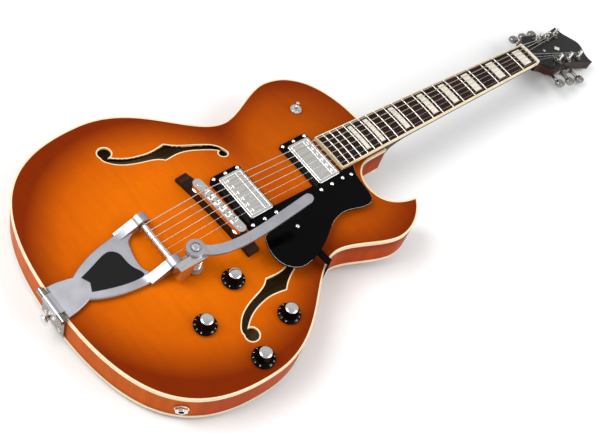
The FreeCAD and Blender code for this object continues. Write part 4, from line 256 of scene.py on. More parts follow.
def burst(tree, place):
    """0 in the middle of the body and about 1 along its edge, from an oval for each bout."""
    ovals = []
    for centre, size in BOUTS:
        flat = vector_math(tree, "MULTIPLY", vector_math(tree, "SUBTRACT", place, centre), (1, 1, 0))
        scaled = vector_math(tree, "DIVIDE", flat, size)
        ovals.append(add(tree, "ShaderNodeVectorMath", {"operation": "LENGTH"}, i0=scaled).outputs["Value"])
    nearest = add(tree, "ShaderNodeMath", {"operation": "SMOOTH_MIN"}, i0=ovals[0], i1=ovals[1], i2=0.3)
    return nearest.outputs[0]


def lacquered_top(looks):
    """Pressed maple under clear amber lacquer: deep gloss, the colour going to red-brown at the edge."""
    made, tree, shader, place = material("lacquered_maple_sunburst", Roughness=0.4, IOR=1.5,
                                         Specular_IOR_Level=0.02, Coat_Weight=0.07, Coat_Roughness=0.05)
    colour = ramp(tree, burst(tree, place), (0.42, looks.amber), (0.7, looks.orange), (0.92, looks.edge))
    # The stain deepens from the waist to the neck.
    along = add(tree, "ShaderNodeSeparateXYZ", None, Vector=place).outputs["X"]
    deep = add(tree, "ShaderNodeMapRange", None, Value=along, From_Min=STAIN_FROM, From_Max=STAIN_TO,
               To_Max=STAIN_DEPTH)
    colour = mixed(tree, deep.outputs["Result"], colour, looks.edge)
    # Flame bands about 9 mm wide across the grain, and grain lines about 1 mm apart, drawn at 2 mm to show.
    flame = noise(tree, stretched(tree, place, 110, 16, 16))
    grain = noise(tree, stretched(tree, place, 9, 500, 500), detail=2.0)
    both = add(tree, "ShaderNodeMix", {"data_type": "FLOAT"}, i0=0.35, i2=flame, i3=grain).outputs[0]
    shade = ramp(tree, both, (0.3, grey(0.78)), (0.7, grey(1.0)))
    coloured(tree, shader, shaded(tree, colour, shade, 0.6))
    return made


def lacquered_rim(looks):
    """Bent maple ribs under the same lacquer, darker towards both bindings than half way up the side."""
    made, tree, shader, place = material("lacquered_maple_rim", Roughness=0.4, IOR=1.5,
                                         Specular_IOR_Level=0.02, Coat_Weight=0.06, Coat_Roughness=0.06)
    axes = add(tree, "ShaderNodeSeparateXYZ", None, Vector=place).outputs
    # The side is a clear orange beside the tail and goes to red-brown at the hinge and along the bouts.
    along = add(tree, "ShaderNodeMapRange", None, Value=axes["X"], From_Min=RIM_FROM, From_Max=RIM_TO)
    colour = ramp(tree, along.outputs["Result"], (0.0, looks.rim), (0.06, looks.orange), (0.5, looks.orange),
                  (0.95, looks.rim))
    height = add(tree, "ShaderNodeMapRange", None, Value=axes["Z"], From_Min=RIM_LOW, From_Max=RIM_HIGH)
    deep = ramp(tree, height.outputs["Result"], (0.0, grey(0.8)), (0.3, grey(0.0)), (0.7, grey(0.0)),
                (1.0, grey(0.8)))
    colour = mixed(tree, deep, colour, looks.edge)
    flame = noise(tree, stretched(tree, place, 90, 90, 12))
    shade = ramp(tree, flame, (0.35, grey(0.72)), (0.65, grey(1.0)))
    coloured(tree, shader, shaded(tree, colour, shade, 0.7))
    return made


def aged_cream(tree, place, looks):
    """Cream that varies a little in tone, in patches about 25 mm wide."""
    spots = noise(tree, stretched(tree, place, 40, 40, 40))
    return ramp(tree, spots, (0.35, tint("#e4d0a6")), (0.65, looks.binding))


def cream_celluloid(looks):
    """Celluloid binding gone cream with age: smooth, a little uneven in tone."""
    made, tree, shader, place = material("cream_celluloid", Roughness=0.28, IOR=1.5, Coat_Weight=0.5,
                                         Coat_Roughness=0.06, Subsurface_Weight=0.08,
                                         Subsurface_Radius=(0.002, 0.0015, 0.001))
    coloured(tree, shader, aged_cream(tree, place, looks))
    return made


def hole_binding(looks):
    """Thin cream binding round a sound hole: cream on its face and the upper half of its inner wall, with painted
    shade below, a dark brown that stands for the unlit inside of the body.
    """
    made, tree, shader, place = material("sound_hole_binding_and_painted_shade", Roughness=0.35, IOR=1.5)
    cream = aged_cream(tree, place, looks)
    height = add(tree, "ShaderNodeAttribute", {"attribute_name": "wall_height"}).outputs["Fac"]
    upper = ramp(tree, height, (0.44, grey(0.0)), (0.5, grey(1.0)))
    # The lower half of the inner wall is painted dark brown as painted shade, for the dark inside of the body seen
    # through the hole.
    coloured(tree, shader, mixed(tree, upper, tint("#150d08"), cream))
    return made


def spruce(looks):
    """Bare wood inside the body, yellowed with age: straight grain lines about 2 mm apart."""
    made, tree, shader, place = material("bare_spruce", Roughness=0.75)
    grain = noise(tree, stretched(tree, place, 6, 500, 500), detail=2.0)
    coloured(tree, shader, ramp(tree, grain, (0.35, tint("#a37c4c")), (0.65, tint("#c19a68"))))
    raised(tree, shader, grain, 0.0001)
    return made


def dark_mahogany(looks):
    """Mahogany stained dark cherry under gloss lacquer: brown pores run along the neck."""
    made, tree, shader, place = material("lacquered_mahogany", Roughness=0.4, IOR=1.5,
                                         Specular_IOR_Level=0.05, Coat_Weight=0.15, Coat_Roughness=0.06)
    grain = noise(tree, stretched(tree, place, 14, 420, 420), detail=4.0)
    brown = ramp(tree, grain, (0.3, tint("#1c0b08")), (0.55, looks.neck), (0.75, tint("#431a0e")))
    coloured(tree, shader, brown)
    return made


def rosewood(looks):
    """Oiled rosewood: dark brown with darker streaks about 4 mm apart and open pores, hardly glossy."""
    made, tree, shader, place = material("oiled_rosewood", IOR=1.5, Specular_IOR_Level=0.12)
    streak = noise(tree, stretched(tree, place, 12, 240, 240), detail=4.0, distortion=0.6)
    brown = ramp(tree, streak, (0.3, tint("#180c09")), (0.55, looks.board), (0.78, tint("#43261b")))
    coloured(tree, shader, brown)
    pores = noise(tree, stretched(tree, place, 90, 900, 900), detail=1.0)
    roughened(tree, shader, pores, 0.32, 0.55)
    raised(tree, shader, pores, 0.00006)
    return made


def pearloid(looks):
    """Pearl celluloid: pale swirls about 6 mm across that shift between white, grey and cream."""
    made, tree, shader, place = material("pearloid", Roughness=0.2, IOR=1.5, Coat_Weight=1.0,
                                         Coat_Roughness=0.05)
    swirl = noise(tree, stretched(tree, place, 160, 160, 160), detail=2.0, distortion=2.5)
    pearl = ramp(tree, swirl, (0.3, tint("#b9b2a4")), (0.5, tint("#f2ead9")), (0.7, tint("#d5cdbd")))
    coloured(tree, shader, pearl)
    return made


def bone(looks):
    """Polished bone: ivory white with faint streaks."""
    made, tree, shader, place = material("polished_bone", Roughness=0.3, IOR=1.54)
    streak = noise(tree, stretched(tree, place, 200, 60, 600))
    coloured(tree, shader, ramp(tree, streak, (0.3, tint("#d8cdb4")), (0.7, tint("#efe8d6"))))
    return made


def black_plastic(name, colour, low, high):
    """Moulded black plastic: shiny, with the faint unevenness of the mould, waves about 3 mm long."""
    made, tree, shader, place = material(name, IOR=1.5, Specular_IOR_Level=0.06)
    waves = noise(tree, stretched(tree, place, 320, 320, 320))
    paler = (*(1.35 * c for c in colour[:3]), 1.0)
    coloured(tree, shader, ramp(tree, waves, (0.3, colour), (0.7, paler)))
    roughened(tree, shader, waves, low, high)
    raised(tree, shader, waves, 0.00003)
    return made


def gloss_black(looks):
    """Black celluloid sheet and moulded black knobs, polished."""
    return black_plastic("polished_black_plastic", looks.black, 0.1, 0.2)


def satin_black(looks):
    """Black pressed plastic with a worn, duller face."""
    return black_plastic("satin_black_plastic", looks.black, 0.3, 0.45)


def black_lacquer(looks):
    """Black lacquer on the headstock face: deep, glossy and thin."""
    made, tree, shader, place = material("black_lacquer", Roughness=0.22, IOR=1.5, Specular_IOR_Level=0.05)
    dust = noise(tree, stretched(tree, place, 60, 60, 60))
    coloured(tree, shader, ramp(tree, dust, (0.3, tint("#070606")), (0.7, tint("#100e0d"))))
    return made


def black_paint(looks):
    """Black stove paint in the frame's sunk panel: satin, with a fine grit of about 0.7 mm."""
    made, tree, shader, place = material("black_stove_paint", IOR=1.5, Specular_IOR_Level=0.2)
    grit = noise(tree, stretched(tree, place, 1400, 1400, 1400), detail=1.0)
    coloured(tree, shader, ramp(tree, grit, (0.3, tint("#0b0b0c")), (0.7, tint("#171718"))))
    roughened(tree, shader, grit, 0.28, 0.42)
    raised(tree, shader, grit, 0.00004)
    return made


def plated(name, dark, light, low, high, per_metre):
    """Plated metal with faint polishing marks."""
    made, tree, shader, place = material(name, Metallic=1.0)
    marks = noise(tree, stretched(tree, place, *per_metre), detail=2.0)
    coloured(tree, shader, ramp(tree, marks, (0.3, dark), (0.7, light)))
    roughened(tree, shader, marks, low, high)
    return made


def chrome(looks):
    """Chrome plate: a clear mirror, a little hazed by wiping, marks about 15 mm long."""
    return plated("chrome_plate", tint("#dcdad7"), tint("#e9e7e4"), 0.08, 0.13, (65, 300, 300))


def smoked_chrome(looks):
    """Chrome painted greyer as painted shade, for the dark surroundings that the tail hinge and the tuners
    reflect: the same mirror, greyer.
    """
    # These greys are painted shade: a darker copy of the chrome plate's colours.
    return plated("smoked_chrome", tint("#83817d"), tint("#98958f"), 0.1, 0.16, (65, 300, 300))


def nickel(looks):
    """Nickel silver: a warmer and softer mirror than chrome."""
    return plated("nickel_silver", tint("#c9c3b5"), tint("#dcd7cb"), 0.16, 0.26, (200, 200, 200))


def steel(looks):
    """Drawn bright steel."""
    return plated("bright_steel", tint("#cfd0d1"), tint("#e6e7e8"), 0.15, 0.25, (100, 1000, 1000))


def wound_string(looks):
    """Nickel wrap round a steel core: fine rings, drawn 1 mm apart so that they show."""
    made, tree, shader, place = material("wound_nickel", Metallic=1.0, Roughness=0.3)
    rings = add(tree, "ShaderNodeTexWave", {"bands_direction": "X"},
                Vector=stretched(tree, place, 1000, 0, 0), Scale=0.314, Distortion=0.0).outputs["Fac"]
    coloured(tree, shader, ramp(tree, rings, (0.2, tint("#a39d90")), (0.8, tint("#e8e3d8"))))
    raised(tree, shader, rings, 0.00008)
    return made


def cast_aluminium(looks):
    """Sand-cast aluminium, tumbled to a satin: broad soft reflections and a grain of about 0.7 mm."""
    made, tree, shader, place = material("satin_cast_aluminium", Metallic=1.0)
    grain = noise(tree, stretched(tree, place, 1500, 1500, 1500), detail=2.0)
    cloud = noise(tree, stretched(tree, place, 45, 45, 45))
    coloured(tree, shader, ramp(tree, cloud, (0.3, tint("#adadb3")), (0.7, looks.casting)))
    roughened(tree, shader, cloud, 0.38, 0.48)
    raised(tree, shader, grain, 0.00003)
    return made


def bronze(looks):
    """Oil-filled bronze bearings: dull brown-yellow metal."""
    return plated("bearing_bronze", tint("#7d5a2c"), tint("#a67c44"), 0.3, 0.45, (700, 700, 700))


def white_ink(looks):
    """White paint pressed into moulded figures, a little worn."""
    made, tree, shader, place = material("white_filler_paint", Roughness=0.5)
    wear = noise(tree, stretched(tree, place, 900, 900, 900))
    coloured(tree, shader, ramp(tree, wear, (0.25, tint("#8d8a84")), (0.5, tint("#eceae4"))))
    return made


def white_celluloid(looks):
    """The white layer of laminated plastic, seen where the black layer's edge is cut at a slant."""
    made, tree, shader, place = material("white_celluloid", Roughness=0.35, IOR=1.5)
    spots = noise(tree, stretched(tree, place, 60, 60, 60))
    coloured(tree, shader, ramp(tree, spots, (0.3, tint("#d9d5cb")), (0.7, tint("#f2efe8"))))
    return made


FINISHES = {
    "lacquered_maple_sunburst": lacquered_top,
    "lacquered_maple_rim": lacquered_rim,
    "cream_celluloid": cream_celluloid,
    "sound_hole_binding_and_painted_shade": hole_binding,
    "bare_spruce": spruce,
    "lacquered_mahogany": dark_mahogany,
    "oiled_rosewood": rosewood,
    "pearloid": pearloid,
    "polished_bone": bone,
    "polished_black_plastic": gloss_black,
    "satin_black_plastic": satin_black,
    "black_lacquer": black_lacquer,
    "black_stove_paint": black_paint,
    "chrome_plate": chrome,
    "smoked_chrome": smoked_chrome,
    "nickel_silver": nickel,
    "bright_steel": steel,
    "wound_nickel": wound_string,
    "satin_cast_aluminium": cast_aluminium,
    "bearing_bronze": bronze,
    "white_filler_paint": white_ink,
    "white_celluloid": white_celluloid,
}


def finish(name):
    """The material of that name, made the first time it is asked for."""
    return bpy.data.materials.get(name) or FINISHES[name](bpy.context.scene.guitar_looks)


def new_object(name, data):
    """A mesh, curve, lamp or camera as an object in the scene, at the origin."""
    made = bpy.data.objects.new(name, data)
    bpy.context.scene.collection.objects.link(made)
    return made


def welded(node):
    """A copy of a CAD node's mesh with its loose triangles merged into one skin."""
    skin = bmesh.new()
    skin.from_mesh(frame["nodes"][node].data)
    bmesh.ops.remove_doubles(skin, verts=skin.verts, dist=1e-6)
    return skin


def loose_parts(skin):
    """The faces of a skin, grouped into the solids that they belong to."""
    left, parts = set(skin.faces), []
    while left:
        part, queue = [], [left.pop()]
        while queue:
            face = queue.pop()
            part.append(face)
            for edge in face.edges:
                for near in edge.link_faces:
                    if near in left:
                        left.remove(near)
                        queue.append(near)
        parts.append(part)
    return parts


def extent(faces):
    """The lowest and the highest corner of some faces."""
    points = [vertex.co for face in faces for vertex in face.verts]
    return [Vector([pick(p[i] for p in points) for i in range(3)]) for pick in (min, max)]


def sharp_edges(skin, degrees):
    """The edges whose two faces meet at more than that angle."""
    limit = math.radians(degrees)
    return [e for e in skin.edges if len(e.link_faces) == 2 and e.calc_face_angle(0) > limit]


def flat_faces_merged(skin):
    """Joins the triangles of each flat face into one face."""
    bmesh.ops.dissolve_limit(skin, angle_limit=math.radians(0.6), verts=skin.verts, edges=skin.edges)


def cut_edges(skin, edges, width, segments):
    """Cuts those edges off by a width, straight with one segment, else round. Returns the new faces."""
    made = bmesh.ops.bevel(skin, geom=edges, offset=width, offset_type="OFFSET", segments=segments,
                           profile=0.5, affect="EDGES", clamp_overlap=True)
    return made["faces"]


def rounded_edges(skin, width):
    """Breaks every sharp edge by a small round, as a polisher's wheel does."""
    flat_faces_merged(skin)
    cut_edges(skin, sharp_edges(skin, 35.0), width, 2)


def placed_piece(node, skin, finishes, angle=30.0, even=False, bend=None):
    """The skin as a finished piece that stands for the node and rides on the node's body.

    Where even is set, flat faces keep their own direction beside the small rounds of their edges.
    Where bend is given, as two bodies and two points, the piece bends between the bodies instead."""
    mesh = bpy.data.meshes.new(node + "_dressed")
    skin.to_mesh(mesh)
    skin.free()
    for made in finishes:
        mesh.materials.append(finish(made))
    for attribute in [a for a in mesh.attributes if a.name == "custom_normal"]:
        mesh.attributes.remove(attribute)
    mesh.shade_smooth()
    mesh.set_sharp_from_angle(angle=math.radians(angle))
    piece = new_object(mesh.name, mesh)
    if even:
        modifier = piece.modifiers.new("even", "WEIGHTED_NORMAL")
        modifier.keep_sharp = True
        graph = bpy.context.evaluated_depsgraph_get()
        piece.data = bpy.data.meshes.new_from_object(piece.evaluated_get(graph))
        piece.modifiers.clear()
    if bend:
        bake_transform(piece, *bend)
    else:
        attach(piece, node_body[node])
    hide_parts(node)


def dressed(node, made_of, round_mm=0.0, angle=30.0):
    """A node's own shape in one finish, with its edges rounded by that many millimetres."""
    skin = welded(node)
    for face in skin.faces:
        face.material_index = 0
    if round_mm:
        rounded_edges(skin, round_mm * MM)
    placed_piece(node, skin, (made_of,), angle, even=round_mm > 0)


def carried(name, body, mesh, slot, *finishes):
    """A detail that the CAD model leaves to the eye, riding on a body."""
    for made in finishes:
        mesh.materials.append(finish(made))
    mesh.name = name
    piece = new_object(name, mesh)
    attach(piece, body)


def seen_from(tree, side, x, y):
    """Where a plate is met from above, for side 1, or from below, for side -1, and its direction there."""
    return tree.ray_cast(Vector((x, y, side)), Vector((0, 0, -side)))[:2]


def arch_points(skin, tree, side):
    """Points of a plate's outer face on an even grid."""
    low, high = extent(skin.faces)
    points = []
    for i in range(int((high.x - low.x) / SAMPLE_STEP) + 1):
        for j in range(int((high.y - low.y) / SAMPLE_STEP) + 1):
            hit, normal = seen_from(tree, side, low.x + i * SAMPLE_STEP, low.y + j * SAMPLE_STEP)
            if hit and normal.z * side > ARCH_FACING:
                points.append(hit)
    return points


def fitted_rise(at):
    """How far a smooth surface through nearby points, given from a vertex, lies above that vertex."""
    weight = np.exp(-(at[:, 0] ** 2 + at[:, 1] ** 2) / (0.5 * FIT_REACH) ** 2)
    x = at[:, 0] / FIT_REACH
    y = at[:, 1] / FIT_REACH
    terms = np.stack([np.ones_like(x), x, y, x * x, x * y, y * y], axis=1)
    return np.linalg.lstsq(terms * weight[:, None], at[:, 2] * weight, rcond=None)[0][0]


def smoothed_arch(skin, side):
    """Splits the long triangles of an arched plate's outer face and settles it on a smooth fitted surface.

    The side is +1 for the top and -1 for the back.
    The surface is fitted, point by point, to the plate itself."""
    skin.faces.ensure_lookup_table()
    tree = BVHTree.FromBMesh(skin)
    samples = arch_points(skin, tree, side)
    kd = KDTree(len(samples))
    for index, point in enumerate(samples):
        kd.insert(point, index)
    kd.balance()
    points = np.array([tuple(p) for p in samples])
    mark = skin.faces.layers.int.new("outer_face")
    for face in skin.faces:
        centre = face.calc_center_median()
        hit, normal = seen_from(tree, side, centre.x, centre.y)
        outside = hit is not None and abs(hit.z - centre.z) < OUTER_SKIN
        face[mark] = face.normal.z * side > ARCH_FACING and outside
    for turn in range(5):
        outer_edges = [e for e in skin.edges if any(f[mark] for f in e.link_faces)]
        long_edges = [e for e in outer_edges if e.calc_length() > LONGEST_EDGE]
        if not long_edges:
            break
        bmesh.ops.subdivide_edges(skin, edges=long_edges, cuts=1, use_grid_fill=False)
        bmesh.ops.triangulate(skin, faces=[f for f in skin.faces if len(f.verts) > 3])
    for vertex in skin.verts:
        if not any(face[mark] for face in vertex.link_faces):
            continue
        near = [index for point, index, away in kd.find_range(vertex.co, FIT_REACH)]
        if len(near) < FEWEST_POINTS:
            continue
        rise = fitted_rise(points[near] - np.array(vertex.co))
        if abs(rise) < LARGEST_MOVE:
            vertex.co.z += rise
    skin.faces.layers.int.remove(mark)


def ring_of_bars():
    """Geometry nodes: equal bars round a circle, for grip ribs and knurls."""
    tree = bpy.data.node_groups.get("ring_of_bars")
    if tree:
        return tree
    tree = bpy.data.node_groups.new("ring_of_bars", "GeometryNodeTree")
    face = tree.interface
    face.new_socket("Geometry", in_out="OUTPUT", socket_type="NodeSocketGeometry")
    for name, kind in (("Count", "Int"), ("Radius", "Float"), ("Bar Size", "Vector"), ("Tilt", "Float"),
                       ("Start", "Float"), ("Sweep", "Float"), ("Material", "Material")):
        face.new_socket(name, in_out="INPUT", socket_type="NodeSocket" + kind)
    given = add(tree, "NodeGroupInput").outputs
    index = add(tree, "GeometryNodeInputIndex").outputs["Index"]
    share = add(tree, "ShaderNodeMath", {"operation": "DIVIDE"}, i0=index, i1=given["Count"]).outputs[0]
    angle = add(tree, "ShaderNodeMath", {"operation": "MULTIPLY_ADD"}, i0=share, i1=given["Sweep"],
                i2=given["Start"]).outputs[0]
    across = add(tree, "ShaderNodeMath", {"operation": "COSINE"}, i0=angle).outputs[0]
    along = add(tree, "ShaderNodeMath", {"operation": "SINE"}, i0=angle).outputs[0]
    way = add(tree, "ShaderNodeCombineXYZ", None, X=across, Y=along).outputs[0]
    spot = add(tree, "ShaderNodeVectorMath", {"operation": "SCALE"}, i0=way, Scale=given["Radius"])
    points = add(tree, "GeometryNodePoints", None, Count=given["Count"], Position=spot.outputs[0]).outputs[0]
    bar = add(tree, "GeometryNodeMeshCube", None, Size=given["Bar Size"]).outputs["Mesh"]
    turn = add(tree, "ShaderNodeCombineXYZ", None, Y=given["Tilt"], Z=angle).outputs[0]
    bars = add(tree, "GeometryNodeInstanceOnPoints", None, Points=points, Instance=bar, Rotation=turn)
    real = add(tree, "GeometryNodeRealizeInstances", None, Geometry=bars.outputs[0]).outputs[0]
    clad = add(tree, "GeometryNodeSetMaterial", None, Geometry=real, Material=given["Material"])
    add(tree, "NodeGroupOutput", None, Geometry=clad.outputs[0])
    return tree


def grown(tree, values, place):
    """A plain mesh from a geometry nodes tree with those input values, moved to its place."""
    seed = new_object("seed", bpy.data.meshes.new("seed"))
    modifier = seed.modifiers.new("grow", "NODES")
    modifier.node_group = tree
    for item in tree.interface.items_tree:
        if item.in_out == "INPUT" and item.name in values:
            modifier[item.identifier] = values[item.name]
    seed.update_tag()
    graph = bpy.context.evaluated_depsgraph_get()
    mesh = bpy.data.meshes.new_from_object(seed.evaluated_get(graph))
    bpy.data.objects.remove(seed)
    mesh.transform(place)
    return mesh


def axes_place(origin, up, side):
    """A place whose z is up and whose x is as near to side as it can be."""
    z = Vector(up).normalized()
    y = z.cross(side).normalized()
    x = y.cross(z)
    return Matrix.Translation(origin) @ Matrix((x, y, z)).transposed().to_4x4()


def lathe(profile, turns=48):
    """A closed solid of revolution about z through radius and height pairs."""
    skin = bmesh.new()
    rings = []
    for radius, height in profile:
        if radius < 1e-7:
            rings.append([skin.verts.new((0, 0, height))])
        else:
            angles = [FULL_TURN * k / turns for k in range(turns)]
            corners = [(radius * math.cos(a), radius * math.sin(a), height) for a in angles]
            rings.append([skin.verts.new(corner) for corner in corners])
    for lower, upper in zip(rings, rings[1:]):
        for k in range(turns):
            n = (k + 1) % turns
            four = [ring[i % len(ring)] for ring, i in ((lower, k), (lower, n), (upper, n), (upper, k))]
            skin.faces.new(list(dict.fromkeys(four)))
    bmesh.ops.recalc_face_normals(skin, faces=skin.faces)
    mesh = bpy.data.meshes.new("lathe")
    skin.to_mesh(mesh)
    skin.free()
    mesh.shade_smooth()
    mesh.set_sharp_from_angle(angle=math.radians(35))
    return mesh


def joined(meshes):
    """Several meshes as one."""
    skin = bmesh.new()
    for mesh in meshes:
        skin.from_mesh(mesh)
    made = bpy.data.meshes.new("joined")
    skin.to_mesh(made)
    skin.free()
    return made


def lettering(text, size, place):
    """A dial figure as a thin mesh."""
    curve = bpy.data.curves.new("figure", "FONT")
    curve.body = text
    curve.size = size
    curve.align_x = "CENTER"
    curve.align_y = "CENTER"
    curve.extrude = FIGURE_DEPTH
    curve.resolution_u = 3
    shape = new_object("figure", curve)
    mesh = bpy.data.meshes.new_from_object(shape.evaluated_get(bpy.context.evaluated_depsgraph_get()))
    bpy.data.objects.remove(shape)
    mesh.materials.clear()
    mesh.transform(place)
    return mesh


def colour_property(name, description, code):
    """A colour that an owner can change, from its sRGB hex code."""
    return FloatVectorProperty(name=name, description=description, default=tint(code), size=4, min=0, max=1,
                               subtype="COLOR")


class GuitarLooks(bpy.types.PropertyGroup):
    """Colours and small sizes that an owner might change"""
    amber: colour_property("Middle of the top", "Lacquer colour in the middle of the top", "#dc6900")
    orange: colour_property("Burst", "Lacquer colour half way to the edge", "#c85900")
    edge: colour_property("Edge", "Lacquer colour along the edge of the body", "#7c2600")
    rim: colour_property("Rim", "Lacquer colour half way up the side", "#b14006")
    binding: colour_property("Binding", "Aged celluloid along the edges", "#f0dfb8")
    neck: colour_property("Neck", "Stain of the neck", "#2f110a")
    board: colour_property("Fretboard", "Rosewood of the fretboard and bridge base", "#2c1710")
    black: colour_property("Black plastic", "Pickguard, rings and knobs", "#040304")
    casting: colour_property("Casting", "Satin aluminium of the vibrato", "#bfbfc5")
    knob_ribs: IntProperty(name="Knob ribs", description="Grip ribs round each knob", default=30,
                           min=8, max=60)
    figure_size: FloatProperty(name="Dial figures", description="Height of the dial figures",
                               default=3.0 * MM, min=1.0 * MM, max=5.0 * MM, unit="LENGTH")


class GUITAR_OT_body(bpy.types.Operator):
    """Dress the plates, ribs, bindings and inner woodwork of the body"""
    bl_idname = "guitar.body"
    bl_label = "Dress body"

    def execute(self, context):
        for node, side in (("top_plate", 1), ("back_plate", -1)):
            skin = welded(node)
            smoothed_arch(skin, side)
            for face in skin.faces:
                face.material_index = 0 if face.normal.z * side > LACQUER_FACING else 1
            placed_piece(node, skin, ("lacquered_maple_sunburst", "bare_spruce"))
        for node in ("bass_rib", "treble_rib", "cutaway_rib"):
            dressed(node, "lacquered_maple_rim", angle=40)
        skin = welded("body_bindings")
        # A vertex's wall height is 1 where the binding lies flush with the top; below that, a sound hole's inner
        # wall gets painted shade.
        wall = skin.verts.layers.float.new("wall_height")
        for part in loose_parts(skin):
            low, high = extent(part)
            for face in part:
                face.material_index = 1 if high.x - low.x < HOLE_BINDING_LENGTH else 0
                for vertex in face.verts:
                    vertex[wall] = max(vertex[wall], float(face.normal.z > FLUSH_FACING))
        placed_piece("body_bindings", skin, ("cream_celluloid", "sound_hole_binding_and_painted_shade"), angle=40)
        for node in ("end_blocks", "linings", "tone_bars"):
            dressed(node, "bare_spruce")
        return {"FINISHED"}


class GUITAR_OT_neck(bpy.types.Operator):
    """Dress the neck, headstock, fretboard, frets and inlays"""
    bl_idname = "guitar.neck"
    bl_label = "Dress neck"

    def execute(self, context):
        dressed("neck", "lacquered_mahogany", angle=50)
        dressed("heel_cap", "cream_celluloid")
        dressed("headstock_face", "black_lacquer")
        dressed("fretboard", "oiled_rosewood")
        dressed("fretboard_binding", "cream_celluloid")
        dressed("frets", "nickel_silver", angle=50)
        dressed("pearl_inlays", "pearloid")
        dressed("truss_rod_cover", "polished_black_plastic", round_mm=0.3)
        dressed("truss_rod", "bright_steel")
        dressed("nut", "polished_bone", round_mm=0.3)
        return {"FINISHED"}


class GUITAR_OT_strings(bpy.types.Operator):
    """Dress the three plain and three wound strings"""
    bl_idname = "guitar.strings"
    bl_label = "Dress strings"

    def execute(self, context):
        skin = welded("strings")
        for face in skin.faces:
            face.material_index = 1 if face.calc_center_median().y > 0 else 0
        # The hooked ends follow the axle, and the turn fades along the free length before the bridge.
        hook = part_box("vibrato_axle")[1][0] + HOOK_ROOM
        placed_piece("strings", skin, ("bright_steel", "wound_nickel"), angle=50,
                     bend=("rocker", "guitar", (hook, 0, 0), (hook + HOOK_FADE, 0, 0)))
        return {"FINISHED"}


class GUITAR_OT_bridge(bpy.types.Operator):
    """Dress the bridge and knurl its thumbwheels"""
    bl_idname = "guitar.bridge"
    bl_label = "Dress bridge"

    def execute(self, context):
        dressed("bridge_base", "oiled_rosewood", round_mm=0.4)
        dressed("bridge_body", "chrome_plate", round_mm=0.4)
        skin = welded("bridge_posts")
        for part in loose_parts(skin):
            low, high = extent(part)
            if high.x - low.x > WHEEL_WIDTH:
                middle = (low + high) / 2
                bars = {"Count": KNURL_COUNT, "Radius": KNURL_RADIUS, "Bar Size": KNURL_BAR, "Tilt": 0.0,
                        "Start": 0.0, "Sweep": FULL_TURN, "Material": finish("chrome_plate")}
                knurl = grown(ring_of_bars(), bars, axes_place(middle, body_up, ACROSS))
                side = "bass" if middle.y > 0 else "treble"
                carried("thumbwheel_knurl_" + side, "guitar", knurl, "nickel")
        placed_piece("bridge_posts", skin, ("chrome_plate",))
        dressed("bridge_saddles", "chrome_plate", round_mm=0.15)
        return {"FINISHED"}


class GUITAR_OT_pickups(bpy.types.Operator):
    """Dress the pickups and their rings"""
    bl_idname = "guitar.pickups"
    bl_label = "Dress pickups"

    def execute(self, context):
        dressed("pickup_rings", "satin_black_plastic", round_mm=0.5)
        dressed("pickup_covers", "chrome_plate", round_mm=0.6)
        dressed("pickup_cores", "satin_black_plastic")
        return {"FINISHED"}


class GUITAR_OT_pickguard(bpy.types.Operator):
    """Dress the pickguard, its white cut edge and its bracket"""
    bl_idname = "guitar.pickguard"
    bl_label = "Dress pickguard"

    def execute(self, context):
        skin = welded("pickguard")
        flat_faces_merged(skin)
        skin.faces.ensure_lookup_table()
        for face in skin.faces:
            face.material_index = 0
        upper = max(skin.faces, key=lambda f: f.calc_area() * max(f.normal.z, 0.0))
        rim = []
        for edge in upper.edges:
            run = edge.verts[1].co - edge.verts[0].co
            notch = min(abs(run.x), abs(run.y)) < NOTCH_SLANT * run.length and run.length > NOTCH_LENGTH
            if len(edge.link_faces) == 2 and edge.calc_face_angle(0) > GUARD_CORNER and not notch:
                rim.append(edge)
        for face in cut_edges(skin, rim, GUARD_CUT, 1):
            face.material_index = 1
        placed_piece("pickguard", skin, ("polished_black_plastic", "white_celluloid"))
        dressed("pickguard_bracket", "satin_black_plastic", round_mm=0.3)
        return {"FINISHED"}


class GUITAR_OT_vibrato(bpy.types.Operator):
    """Dress the vibrato tailpiece"""
    bl_idname = "guitar.vibrato"
    bl_label = "Dress vibrato"

    def execute(self, context):
        dressed("vibrato_frame", "satin_cast_aluminium", round_mm=0.6)
        dressed("vibrato_panel", "black_stove_paint")
        dressed("vibrato_bearings", "bearing_bronze")
        # The tail hinge takes the chrome painted darker, as painted shade of its dark reflections.
        dressed("tail_hinge", "smoked_chrome", round_mm=0.4)
        dressed("strap_button", "chrome_plate", angle=40)
        dressed("vibrato_axle", "chrome_plate", round_mm=0.2)
        skin = welded("arm_bracket")
        parts = loose_parts(skin)
        bolt = min(parts, key=lambda part: sum(face.calc_area() for face in part))
        for part in parts:
            for face in part:
                face.material_index = 1 if part is bolt else 0
        rounded_edges(skin, 0.4 * MM)
        placed_piece("arm_bracket", skin, ("satin_cast_aluminium", "chrome_plate"), even=True)
        dressed("vibrato_arm", "satin_cast_aluminium", round_mm=0.5)
        # The spring's foot stands on the frame and its head follows the bracket.
        low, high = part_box("vibrato_spring")
        foot = (low[0], low[1], low[2] + SPRING_END)
        head = (low[0], low[1], high[2] - SPRING_END)
        placed_piece("vibrato_spring", welded("vibrato_spring"), ("chrome_plate",), angle=60,
                     bend=("guitar", "rocker", foot, head))
        return {"FINISHED"}


